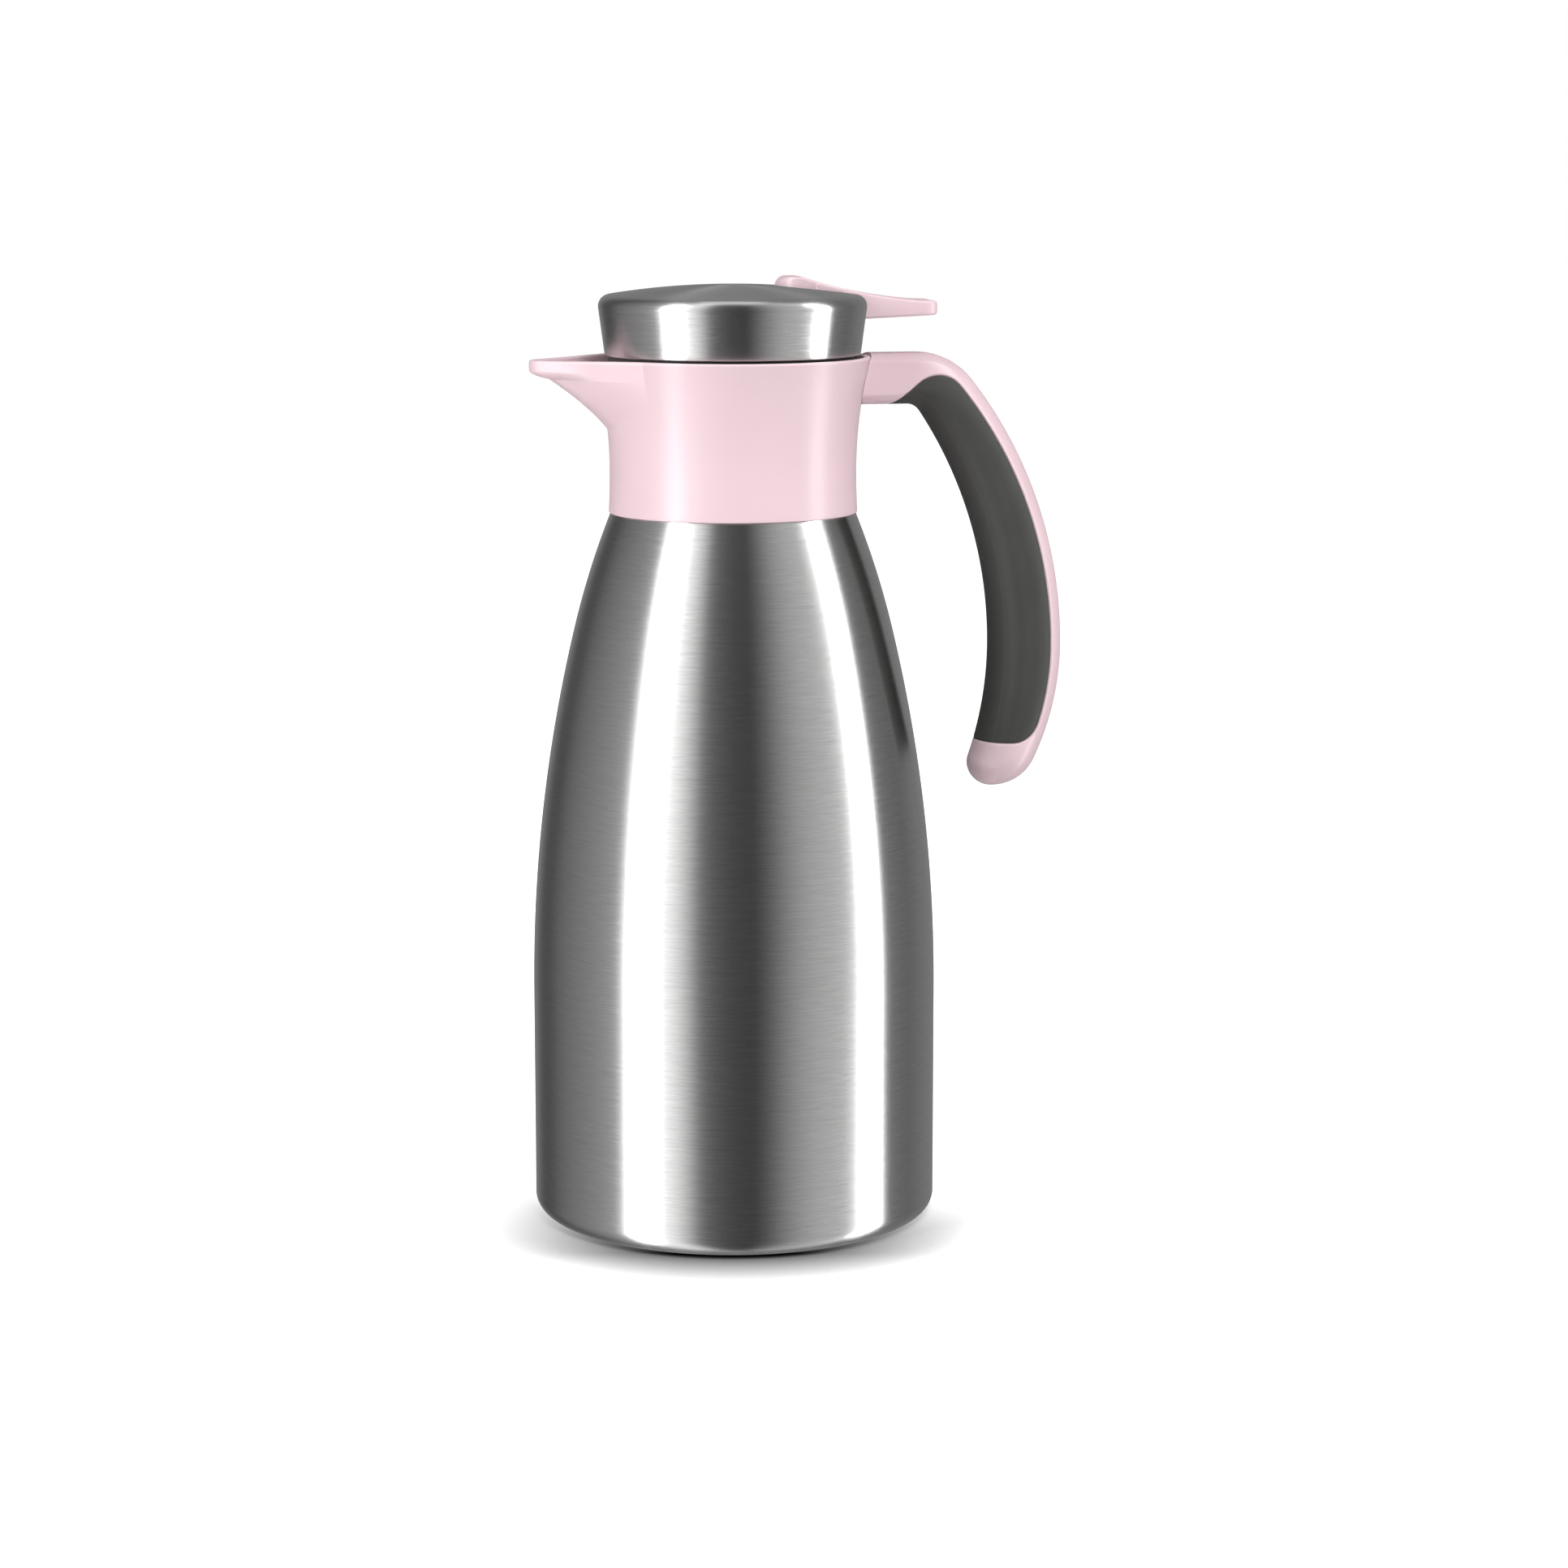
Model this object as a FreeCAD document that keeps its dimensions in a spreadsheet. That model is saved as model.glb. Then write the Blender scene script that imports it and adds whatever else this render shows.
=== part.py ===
import FreeCAD, Part
import math
import os
import Sketcher
from types import SimpleNamespace

# Thermal carafe: a double-wall steel jug with a collar and spout, a hook handle and a screw-in closure
# with a thumb lever. Millimetres, +Z up. The origin is on the standing plane at the jug's axis, the
# handle points to +X and the spout to -X.

doc = FreeCAD.newDocument("carafe")

# Driving dimensions: name, number, what it measures. Lengths are in mm and angles in degrees. Sizes that
# follow from these are worked out below the table.
DIMENSIONS = (
    ("body_radius", 56.0, "outside radius of the steel body"),
    ("shell_wall", 0.8, "thickness of the outer steel wall"),
    ("base_fillet", 5.0, "outside radius of the body's lower edge"),
    ("base_rim", 12.0, "width of the shell's underside round the base disc"),
    ("taper_height", 102.0, "height of the long taper above the straight side"),
    ("taper_share", 0.438315, "share of the step from body to neck that the taper takes"),
    ("shoulder_drop", 50.0, "how far below the rim the tighter shoulder begins"),
    ("neck_length", 5.77926, "length of the straight neck up to the rim"),
    ("neck_radius", 28.0, "outside radius of the steel neck"),
    ("rim_height", 215.0, "height of the mouth's rim"),
    ("rim_roll", 2.0, "how far the rolled rim stands out from the neck"),
    ("liner_wall", 0.8, "thickness of the inner vessel"),
    ("vacuum_gap", 4.0, "gap between the two walls"),
    ("neck_gap", 0.4, "gap between the two walls at the neck"),
    ("liner_floor", 12.0, "underside of the inner vessel"),
    ("liner_corner", 12.0, "outside radius of the inner vessel's lower edge"),
    ("closing_height", 6.0, "underside of the plate that closes the vacuum"),
    ("closing_flange", 6.0, "height of that plate's upturned edge"),
    ("weld_gap", 0.05, "gap at welded and pressed seats"),
    ("evacuation_radius", 1.2, "radius of the evacuation hole"),
    ("seal_plug_radius", 4.0, "radius of the solder plug"),
    ("seal_plug_height", 1.5, "height of the solder plug below the plate"),
    ("getter_radius", 5.0, "radius of the getter pellet"),
    ("getter_height", 2.5, "thickness of the getter pellet"),
    ("getter_offset", 18.0, "distance of the getter from the axis"),
    ("base_thickness", 1.2, "thickness of the base disc"),
    ("base_groove_radius", 29.0, "middle radius of the groove stamped in the base"),
    ("base_groove_width", 5.0, "width of that groove"),
    ("base_groove_depth", 0.6, "depth of that groove"),
    ("gasket_height", 1.0, "thickness of the gasket on the rim"),
    ("gasket_width", 1.4, "width of the gasket on the rim"),
    ("sleeve_lip_inset", 1.6, "how far the sleeve's foot is set in from the rim's edge"),
    ("sleeve_lip_height", 1.3, "height of the sleeve's foot"),
    ("sleeve_bore_inset", 0.5, "how far the sleeve's bore is set in from the rim's edge"),
    ("sleeve_cover", 1.8, "how far the sleeve stands out over the rim"),
    ("sleeve_skirt_drop", 2.6, "how far the sleeve's skirt hangs below the rim"),
    ("sleeve_clip_inset", 1.1, "how far the clip reaches under the rim"),
    ("sleeve_rise", 13.5, "height of the sleeve above the rim"),
    ("sleeve_flange_width", 1.8, "how far the sleeve's flange stands out"),
    ("sleeve_flange", 1.5, "thickness of the sleeve's flange"),
    ("soft_gap", 0.3, "gap between pieces that rest on each other"),
    ("thread_lead", 8.0, "rise of the closure in one turn"),
    ("thread_rise", 3.4, "middle height above the rim at which the sleeve's thread begins"),
    ("sleeve_thread_height", 7.0, "rise of the sleeve's thread"),
    ("stopper_thread_height", 4.5, "rise of the stopper's thread"),
    ("thread_tip", 0.5, "half the width of a thread at its crest"),
    ("thread_base", 0.95, "half the width of a thread at its root"),
    ("thread_root", 0.6, "how far a thread is rooted in its wall"),
    ("sleeve_thread_depth", 1.4, "depth of the sleeve's thread"),
    ("stopper_thread_depth", 1.5, "depth of the stopper's thread"),
    ("collar_drop", 18.5, "how far the collar hangs below the rim"),
    ("collar_foot_flare", 0.3, "how far the collar's lower edge flares out from the waist"),
    ("collar_foot_edge", 0.35, "thickness of the collar's lower edge"),
    ("collar_shell_gap", 0.15, "least gap between the collar's lower edge and the steel"),
    ("collar_waist_rise", 11.5, "height of the collar's waist above its lower edge"),
    ("collar_cover", 2.05, "how far the collar's waist stands out over the sleeve"),
    ("collar_rise", 23.9, "height of the collar's upper edge above the rim"),
    ("collar_flare", 3.95, "how far the collar's upper edge flares out from the waist"),
    ("collar_edge", 1.8, "thickness of the collar's upper edge"),
    ("collar_ledge", 1.2, "how far the collar reaches in under the sleeve"),
    ("seat_gap", 0.2, "gap round the sleeve in the collar"),
    ("spout_height", 19.4, "height of the spout, up to the collar's upper edge"),
    ("spout_foot_start", 0.75, "how far the spout's foot stands out from the waist"),
    ("spout_beak_length", 16.1, "how far the beak reaches out from the spout's foot"),
    ("spout_bow", 1.15, "hollow of the beak's underside"),
    ("spout_lip_height", 5.6, "height of the lip, up to the collar's upper edge"),
    ("spout_lip_length", 5.2, "how far the lip reaches out past the beak"),
    ("spout_lip_round", 1.05, "how far the lip is rounded in at its underside"),
    ("spout_lip_swell", 1.2, "height over which the lip swells to that rounding"),
    ("spout_lip_rise", 2.35, "height over which the lip swells to its full reach"),
    ("spout_root_angle", 46.0, "half the angle over which the spout meets the collar"),
    ("spout_root_sink", 0.15, "how far the spout's flanks are sunk in the collar at their root"),
    ("spout_flank_angle", 37.0, "angle of the spout's flanks to its middle, in plan"),
    ("spout_foot_round", 22.0, "radius of the beak's nose at its foot, in plan"),
    ("spout_beak_round", 6.0, "radius of the beak's nose at its top, in plan"),
    ("spout_tip_round", 5.2, "radius of the lip's nose, in plan"),
    ("trough_root_angle", 43.0, "half the angle over which the trough leaves the collar"),
    ("trough_wall", 2.3, "thickness of the spout's wall beside the trough"),
    ("trough_tip_depth", 2.7, "depth of the trough near the tip"),
    ("handle_width", 22.0, "width of the handle"),
    ("handle_drop", 81.6, "how far below the arm's top the handle stands furthest out"),
    ("handle_reach", 92.5, "furthest distance of the spine from the axis"),
    ("handle_depth", 20.3, "depth of the handle there"),
    ("spine_upper_radius", 119.0, "radius of the spine above the middle"),
    ("spine_lower_radius", 75.0, "radius of the spine below the middle"),
    ("palm_upper_radius", 117.0, "radius of the finger side above the middle"),
    ("palm_lower_radius", 97.0, "radius of the finger side below the middle"),
    ("arm_rise", 0.7, "how far the arm stands above the collar's upper edge"),
    ("arm_depth", 14.2, "depth of the arm"),
    ("arm_bend", 20.0, "radius of the bend from the arm to the spine"),
    ("arm_corner", 5.0, "radius of the corner under the arm"),
    ("tip_drop", 39.8, "how far the handle's free end hangs below its furthest place"),
    ("tip_outer_round", 13.0, "radius of the free end, outer side"),
    ("tip_inner_round", 6.2, "radius of the free end, finger side"),
    ("handle_edge", 5.5, "radius of the handle's long edges"),
    ("root_gap", 0.1, "gap between the arm and the collar"),
    ("grip_band", 4.6, "width of the bare spine beside the grip"),
    ("grip_skin", 3.0, "thickness of the soft grip"),
    ("grip_rise", 13.1, "height of the grip's lower end above the free end"),
    ("grip_foot_round", 8.0, "radius of the grip's lower outer corner"),
    ("grip_crest_round", 8.5, "radius of the grip's upper edge"),
    ("grip_crest_angle", 39.4, "direction of that edge's centre from the spine's centre"),
    ("grip_slope", 40.0, "slope of the grip's edge towards the arm's underside"),
    ("handle_screw_radius", 1.45, "radius of a handle screw"),
    ("handle_screw_head", 2.4, "radius of a handle screw's head"),
    ("handle_screw_head_height", 1.6, "height of a handle screw's head"),
    ("handle_screw_length", 13.0, "length of a handle screw below its head"),
    ("handle_screw_spread", 5.5, "distance of a handle screw from the middle"),
    ("handle_screw_drop", 6.9, "how far the handle screws lie below the collar's upper edge"),
    ("screw_boss_inset", 1.05, "how far the screw boss's face is set in from the waist"),
    ("screw_boss_width", 17.0, "width of the screw boss"),
    ("screw_boss_height", 6.0, "height of the screw boss"),
    ("screw_gap", 0.05, "gap round a screw in its hole"),
    ("stopper_neck_gap", 1.4, "gap round the stopper in the mouth"),
    ("stopper_gap", 1.9, "gap round the stopper's threaded barrel in the sleeve"),
    ("stopper_wall", 2.4, "thickness of the stopper's wall"),
    ("stopper_drop", 16.3, "how far the stopper's wall hangs below the rim"),
    ("neck_seal_height", 1.7, "thickness of the seal on the rim"),
    ("neck_seal_edge", 0.2, "how far the seal on the rim stands out past the barrel"),
    ("rest_gap", 0.25, "gap above and below the seal on the rim"),
    ("deck_rise", 21.3, "height of the deck's underside above the rim"),
    ("deck_thickness", 2.0, "thickness of the stopper's deck"),
    ("deck_inset", 1.1, "how far the deck's edge is set in from the cap's"),
    ("window_height", 6.0, "height of the pour windows"),
    ("window_cover", 0.8, "wall between the pour windows and the deck"),
    ("window_angle", 40.0, "width of a pour window"),
    ("window_count", 6.0, "number of pour windows"),
    ("stem_radius", 2.2, "radius of the valve rod"),
    ("stem_play", 0.05, "running clearance of the valve rod"),
    ("guide_radius", 6.5, "outside radius of the rod's guide"),
    ("guide_length", 5.3, "length of the rod's guide below the deck"),
    ("stem_seal_radius", 4.2, "outside radius of the ring round the rod"),
    ("stem_seal_height", 2.3, "height of the ring round the rod"),
    ("seat_thickness", 2.2, "thickness of the valve seat"),
    ("seat_land", 5.5, "width of the valve seat under the soft ring"),
    ("seat_spigot", 2.5, "height of the seat's spigot in the stopper"),
    ("valve_seal_inset", 0.5, "how far the soft ring is set in from the disc's edge"),
    ("valve_seal_width", 4.5, "width of the valve's soft ring"),
    ("valve_seal_height", 1.4, "thickness of the valve's soft ring"),
    ("valve_disc_gap", 3.2, "gap round the valve disc in the stopper"),
    ("valve_disc_height", 2.2, "thickness of the valve disc"),
    ("valve_hub_radius", 4.2, "radius of the valve disc's hub"),
    ("valve_hub_height", 3.4, "height of the valve disc's hub"),
    ("valve_screw_radius", 1.3, "radius of the valve screw"),
    ("valve_screw_head", 4.0, "radius of the valve screw's head"),
    ("valve_screw_length", 11.0, "length of the valve screw below its head"),
    ("spring_radius", 5.5, "middle radius of the spring's turns"),
    ("spring_wire", 0.5, "radius of the spring's wire"),
    ("spring_turns", 8.0, "number of the spring's turns"),
    ("lid_rise", 1.0, "height of the cap's lower edge above the deck"),
    ("lid_gap", 1.0, "gap round the cap in the collar's mouth"),
    ("lid_shoulder_rise", 2.4, "height above the pin at which the cap's side meets its dome"),
    ("lid_flare", 2.15, "how far the cap's side flares out"),
    ("lid_dome_rise", 3.0, "rise of the cap's dome"),
    ("lid_edge", 3.0, "radius of the cap's upper edge"),
    ("cap_wall", 0.6, "thickness of the steel cap"),
    ("notch_rise", 4.2, "height of the lever's notch above the cap's lower edge"),
    ("liner_thickness", 2.0, "thickness of the floor in the cap"),
    ("liner_ring", 1.6, "thickness of the ring in the cap"),
    ("liner_ring_drop", 1.5, "how far below the pin the ring in the cap ends"),
    ("liner_hole", 3.0, "opening for the rod in the cap's floor"),
    ("bay_gap", 0.7, "gap between the lever and the walls of its bay"),
    ("bay_wall", 1.5, "thickness of the walls of the lever's bay"),
    ("bay_length", 8.0, "how far those walls reach in from the pin"),
    ("bay_inset", 4.0, "how far those walls end inside the cap's edge"),
    ("bay_cover", 1.5, "how far those walls rise above the pin's middle"),
    ("liner_screw_radius", 1.45, "radius of a screw in the deck"),
    ("liner_screw_head", 2.6, "radius of its head"),
    ("liner_screw_head_height", 1.6, "height of its head"),
    ("liner_screw_length", 7.0, "length of the screw below its head"),
    ("liner_screw_circle", 19.0, "distance of the screws from the axis"),
    ("liner_screw_boss", 3.2, "radius of the boss round a screw"),
    ("pivot_reach", 20.0, "distance of the lever's pin from the axis"),
    ("pivot_rise", 13.7, "height of the lever's pin above the cap's lower edge"),
    ("pin_radius", 1.25, "radius of the lever's pin"),
    ("pin_play", 0.05, "running clearance of the lever on its pin"),
    ("lever_half_width", 8.2, "half the width of the lever"),
    ("lever_nose_length", 8.4, "how far the lever's nose reaches in from the pin"),
    ("lever_overhang", 19.45, "how far the lever's end stands out past the cap"),
    ("lever_crest_rise", 7.5, "height of the lever's crest above the pin"),
    ("lever_crest_length", 1.0, "how far inside the pin the crest ends"),
    ("lever_nose_round", 3.0, "radius of the nose's upper edge"),
    ("lever_dip_offset", 2.0, "how far outside the pin the dished top begins"),
    ("lever_dip_drop", 1.3, "how far below the crest the dished top begins"),
    ("lever_dip_radius", 158.0, "radius of the dished top, in profile"),
    ("lever_pad_length", 6.6, "length of the thumb pad"),
    ("lever_pad_rise", 1.5, "height of the thumb pad's start above the pin"),
    ("lever_end_drop", 0.5, "fall of the thumb pad to its end"),
    ("lever_end_round", 2.2, "radius of the lever's end, in profile"),
    ("lever_end_depth", 4.2, "thickness of the lever's end"),
    ("lever_underside_drop", 4.3, "how far the lever's underside lies below the pin"),
    ("lever_corner", 4.0, "radius of the lever's end corners, in plan"),
    ("lever_edge", 0.8, "radius of the lever's long upper edges"),
    ("slot_gap", 0.45, "gap between the lever and its slot in the cap"),
    ("fork_half_width", 5.7, "half the width of the lever's fork"),
    ("fork_slot", 2.7, "half the width of the fork's slot"),
    ("fork_slot_end", 5.0, "distance of the slot's closed end from the axis"),
    ("fork_round", 2.5, "radius of the fork's ends"),
    ("fork_drop", 4.5, "how far the fork's ends lie below the pin"),
    ("fork_root", 3.0, "half the depth of the fork where it leaves the lever"),
    ("fork_play", 0.3, "gap between the fork and the rod's head"),
    ("fork_knee", 1.2, "gap from the rod's head to where the fork starts to climb"),
    ("stem_head_radius", 5.0, "radius of the rod's head"),
    ("stem_head_height", 1.5, "height of the rod's head"),
    ("screw_tail", 1.0, "room past the end of a screw in its hole"),
    ("screw_floor", 0.5, "wall below the end of a blind screw hole"),
    ("cut_margin", 1.0, "how far a cut reaches past the face it opens"),
)


class Size:
    """A size as a number now and as the expression on the sheet that drives it."""

    def __init__(self, number, text):
        self.number = float(number)
        self.text = text

    def __add__(self, other):
        other = as_size(other)
        return Size(self.number + other.number, "(%s + %s)" % (self.text, other.text))

    def __sub__(self, other):
        other = as_size(other)
        return Size(self.number - other.number, "(%s - %s)" % (self.text, other.text))

    def __mul__(self, other):
        other = as_size(other)
        return Size(self.number * other.number, "(%s * %s)" % (self.text, other.text))

    def __truediv__(self, other):
        other = as_size(other)
        return Size(self.number / other.number, "(%s / %s)" % (self.text, other.text))

    def __neg__(self):
        return Size(-self.number, "(0 - %s)" % self.text)

    def __rsub__(self, other):
        return as_size(other) - self

    def __rmul__(self, other):
        return as_size(other) * self


def as_size(value):
    """A Size as it is, or a plain number as a fixed Size."""
    if isinstance(value, Size):
        return value
    return Size(value, "(%r)" % float(value))


def root(value):
    """Square root of a Size."""
    return Size(math.sqrt(value.number), "sqrt(%s)" % value.text)


def sine(angle):
    """Sine of a Size in degrees."""
    return Size(math.sin(math.radians(angle.number)), "sin(%s * 1 deg)" % angle.text)


def cosine(angle):
    """Cosine of a Size in degrees."""
    return Size(math.cos(math.radians(angle.number)), "cos(%s * 1 deg)" % angle.text)


def leg(long_side, short_side):
    """Third side of a right-angled triangle."""
    return root(long_side * long_side - short_side * short_side)


def sagitta_radius(half_chord, rise):
    """Radius of the arc that rises by rise over half_chord, from a level start."""
    return (half_chord * half_chord + rise * rise) / (2 * rise)


def larger(first, second):
    """The larger of two Sizes."""
    return Size(max(first.number, second.number), "max(%s; %s)" % (first.text, second.text))


def fill_sheet():
    """Put the driving dimensions on the sheet and give them back by name."""
    sheet = doc.addObject("Spreadsheet::Sheet", "dims")
    named = SimpleNamespace()
    for row, (name, number, meaning) in enumerate(DIMENSIONS, start=1):
        sheet.set("A%d" % row, name)
        sheet.set("B%d" % row, str(number))
        sheet.set("C%d" % row, meaning)
        sheet.setAlias("B%d" % row, name)
        setattr(named, name, Size(number, "dims.%s" % name))
    doc.recompute()
    return named


size = fill_sheet()
ZERO = as_size(0)
FULL_TURN = 360.0
FOLLOWERS = []


def follow(name, value):
    """Put a size that follows others on the sheet, under a name of its own."""
    sheet = doc.getObject("dims")
    FOLLOWERS.append(name)
    row = len(DIMENSIONS) + len(FOLLOWERS)
    sheet.set("A%d" % row, name)
    sheet.set("B%d" % row, "=" + value.text.replace("dims.", ""))
    sheet.setAlias("B%d" % row, name)
    setattr(size, name, Size(value.number, "dims.%s" % name))


# The body: its heights hang on the rim, and the taper and shoulder share the step in to the neck.
follow("base_hole_radius", size.body_radius - size.base_rim)
follow("shoulder_start", size.rim_height - size.shoulder_drop)
follow("side_top", size.shoulder_start - size.taper_height)
follow("taper_depth", size.taper_share * (size.body_radius - size.neck_radius))
follow("taper_radius", sagitta_radius(size.taper_height, size.taper_depth))
follow("shoulder_depth", size.body_radius - size.neck_radius - size.taper_depth)
follow("shoulder_height", size.shoulder_drop - size.neck_length)
follow(
    "shoulder_bend",
    size.shoulder_depth * (size.taper_radius - size.taper_depth) - size.shoulder_height * size.taper_height,
)
follow(
    "shoulder_radius",
    size.taper_radius
    * (size.shoulder_depth * size.shoulder_depth + size.shoulder_height * size.shoulder_height)
    / (2 * size.shoulder_bend),
)

# The sleeve and stopper follow the rim, outwards and inwards.
follow("rim_radius", size.neck_radius + size.rim_roll)
follow("sleeve_lip_radius", size.rim_radius - size.sleeve_lip_inset)
follow("sleeve_bore", size.rim_radius - size.sleeve_bore_inset)
follow("sleeve_radius", size.rim_radius + size.sleeve_cover)
follow("sleeve_clip_radius", size.rim_radius - size.sleeve_clip_inset)
follow("sleeve_top", size.rim_height + size.sleeve_rise)
follow("sleeve_flange_radius", size.sleeve_radius + size.sleeve_flange_width)
follow("thread_start", size.rim_height + size.thread_rise)
follow("sleeve_thread_radius", size.sleeve_bore - size.sleeve_thread_depth)
follow("mouth_radius", size.neck_radius - size.shell_wall - size.neck_gap - size.liner_wall)
follow("stopper_neck_radius", size.mouth_radius - size.stopper_neck_gap)
follow("stopper_radius", size.sleeve_bore - size.stopper_gap)
follow("stopper_thread_radius", size.stopper_radius + size.stopper_thread_depth)
follow("stopper_foot", size.rim_height - size.stopper_drop)
follow("neck_seal_radius", size.stopper_radius + size.neck_seal_edge)
follow("deck_height", size.rim_height + size.deck_rise)
follow("window_top", size.deck_height - size.window_cover)
follow("window_foot", size.window_top - size.window_height)
follow("guide_foot", size.deck_height - size.guide_length)
follow("valve_disc_radius", size.stopper_neck_radius - size.stopper_wall - size.valve_disc_gap)
follow("valve_seal_radius", size.valve_disc_radius - size.valve_seal_inset)
follow("seat_hole_radius", size.valve_seal_radius - size.seat_land)

# The collar covers the sleeve, and the spout and handle follow the collar.
follow("collar_foot", size.rim_height - size.collar_drop)
follow("collar_waist", size.collar_foot + size.collar_waist_rise)
follow("collar_top", size.rim_height + size.collar_rise)
follow("collar_waist_radius", size.sleeve_radius + size.collar_cover)
follow("collar_top_radius", size.collar_waist_radius + size.collar_flare)
follow("collar_mouth_radius", size.collar_top_radius - size.collar_edge)
follow("collar_ledge_radius", size.sleeve_radius - size.collar_ledge)
follow("spout_foot", size.collar_top - size.spout_height)
follow("spout_foot_reach", size.collar_waist_radius + size.spout_foot_start)
follow("spout_beak_reach", size.spout_foot_reach + size.spout_beak_length)
follow("spout_lip_foot", size.collar_top - size.spout_lip_height)
follow("spout_reach", size.spout_beak_reach + size.spout_lip_length)
follow("trough_tip_floor", size.collar_top - size.trough_tip_depth)
follow("arm_top", size.collar_top + size.arm_rise)
follow("arm_underside", size.arm_top - size.arm_depth)
follow("handle_middle", size.arm_top - size.handle_drop)
follow("tip_foot", size.handle_middle - size.tip_drop)
follow("grip_foot", size.tip_foot + size.grip_rise)
follow("handle_screw_height", size.collar_top - size.handle_screw_drop)
follow("screw_boss_face", size.collar_waist_radius - size.screw_boss_inset)

# The cap stands on the deck, inside the collar's mouth, and holds the pin. The lever follows the pin.
follow("lid_radius", size.collar_mouth_radius - size.lid_gap)
follow("deck_radius", size.lid_radius - size.deck_inset)
follow("lid_foot", size.deck_height + size.deck_thickness + size.lid_rise)
follow("notch_foot", size.lid_foot + size.notch_rise)
follow("pivot_height", size.lid_foot + size.pivot_rise)
follow("lid_shoulder", size.pivot_height + size.lid_shoulder_rise)
follow("lid_shoulder_radius", size.lid_radius + size.lid_flare)
follow("lid_top", size.lid_shoulder + size.lid_dome_rise)
follow("liner_ring_top", size.pivot_height - size.liner_ring_drop)
follow("bay_start", size.pivot_reach - size.bay_length)
follow("bay_end", size.lid_radius - size.bay_inset)
follow("bay_top", size.pivot_height + size.bay_cover)
follow("lever_nose_reach", size.pivot_reach - size.lever_nose_length)
follow("lever_reach", size.lid_shoulder_radius + size.lever_overhang)
follow("lever_crest", size.pivot_height + size.lever_crest_rise)
follow("lever_crest_end", size.pivot_reach - size.lever_crest_length)
follow("lever_dip_start", size.pivot_reach + size.lever_dip_offset)
follow("lever_dip_height", size.lever_crest - size.lever_dip_drop)
follow("lever_pad_start", size.lever_reach - size.lever_pad_length)
follow("lever_pad_height", size.pivot_height + size.lever_pad_rise)
follow("lever_end_height", size.lever_pad_height - size.lever_end_drop)
follow("lever_end_foot", size.lever_end_height - size.lever_end_depth)
follow("lever_underside", size.pivot_height - size.lever_underside_drop)
follow("fork_height", size.pivot_height - size.fork_drop)
doc.recompute()


def bind(target, path, value):
    """Drive a property of an object with a Size."""
    target.setExpression(path, as_size(value).text)


def new_body(name):
    """An empty body."""
    return doc.addObject("PartDesign::Body", name)


def new_sketch(body, role, name, height=None):
    """A sketch on one of the body's own origin planes, raised by height along the plane's normal."""
    sketch = body.newObject("Sketcher::SketchObject", name)
    planes = [plane for plane in body.Origin.OriginFeatures if plane.Role == role]
    sketch.AttachmentSupport = [(planes[0], "")]
    sketch.MapMode = "FlatFace"
    if height is not None:
        bind(sketch, "AttachmentOffset.Base.z", height)
    return sketch


def arc_centre(start, end, radius):
    """Centre of the short arc from start to end; it turns left when radius is positive."""
    chord = end - start
    middle = (start + end) * 0.5
    left = FreeCAD.Vector(-chord.y, chord.x, 0).normalize()
    height = math.sqrt(max(radius ** 2 - (chord.Length / 2) ** 2, 0.0))
    return middle + left * math.copysign(height, radius)


def place_point(sketch, item, end, x, y):
    """Tie one end of a sketch item to a place; zero is the axis itself."""
    for kind, axis, value in (("DistanceX", -2, x), ("DistanceY", -1, y)):
        if value.number == 0:
            add_constraint(sketch, ("PointOnObject", item, end, axis))
        elif value.number > 0:
            index = add_constraint(sketch, (kind, -1, 1, item, end, value.number))
            bind(sketch, "Constraints[%d]" % index, value)
        else:
            index = add_constraint(sketch, (kind, item, end, -1, 1, -value.number))
            bind(sketch, "Constraints[%d]" % index, -value)


def add_constraint(sketch, words):
    """Add one constraint and give its index."""
    return sketch.addConstraint(Sketcher.Constraint(*words))


def draw_outline(sketch, corners):
    """Closed outline. A corner is (x, y), or (x, y, radius) where an arc leads on, positive to turn left."""
    spots = [(as_size(corner[0]), as_size(corner[1])) for corner in corners]
    points = [FreeCAD.Vector(x.number, y.number, 0) for x, y in spots]
    starts = []
    ends = []
    for index, corner in enumerate(corners):
        start = points[index]
        end = points[(index + 1) % len(points)]
        if len(corner) == 2:
            item = sketch.addGeometry(Part.LineSegment(start, end), False)
            starts.append((item, 1))
            ends.append((item, 2))
            continue
        radius = as_size(corner[2])
        centre = arc_centre(start, end, radius.number)
        first, last = (start, end) if radius.number > 0 else (end, start)
        angles = [math.atan2(point.y - centre.y, point.x - centre.x) for point in (first, last)]
        circle = Part.Circle(centre, FreeCAD.Vector(0, 0, 1), abs(radius.number))
        item = sketch.addGeometry(Part.ArcOfCircle(circle, *angles), False)
        starts.append((item, 1 if radius.number > 0 else 2))
        ends.append((item, 2 if radius.number > 0 else 1))
        limit = add_constraint(sketch, ("Radius", item, abs(radius.number)))
        bind(sketch, "Constraints[%d]" % limit, radius if radius.number > 0 else -radius)
    for index, (item, end) in enumerate(ends):
        add_constraint(sketch, ("Coincident", item, end) + starts[(index + 1) % len(starts)])
    for (item, end), (x, y) in zip(starts, spots):
        place_point(sketch, item, end, x, y)


def draw_circles(sketch, centres, radius):
    """Circles of one radius at the given places."""
    for x, y in centres:
        place = FreeCAD.Vector(x.number, y.number, 0)
        circle = Part.Circle(place, FreeCAD.Vector(0, 0, 1), radius.number)
        item = sketch.addGeometry(circle, False)
        limit = add_constraint(sketch, ("Radius", item, radius.number))
        bind(sketch, "Constraints[%d]" % limit, radius)
        place_point(sketch, item, 3, x, y)


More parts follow.
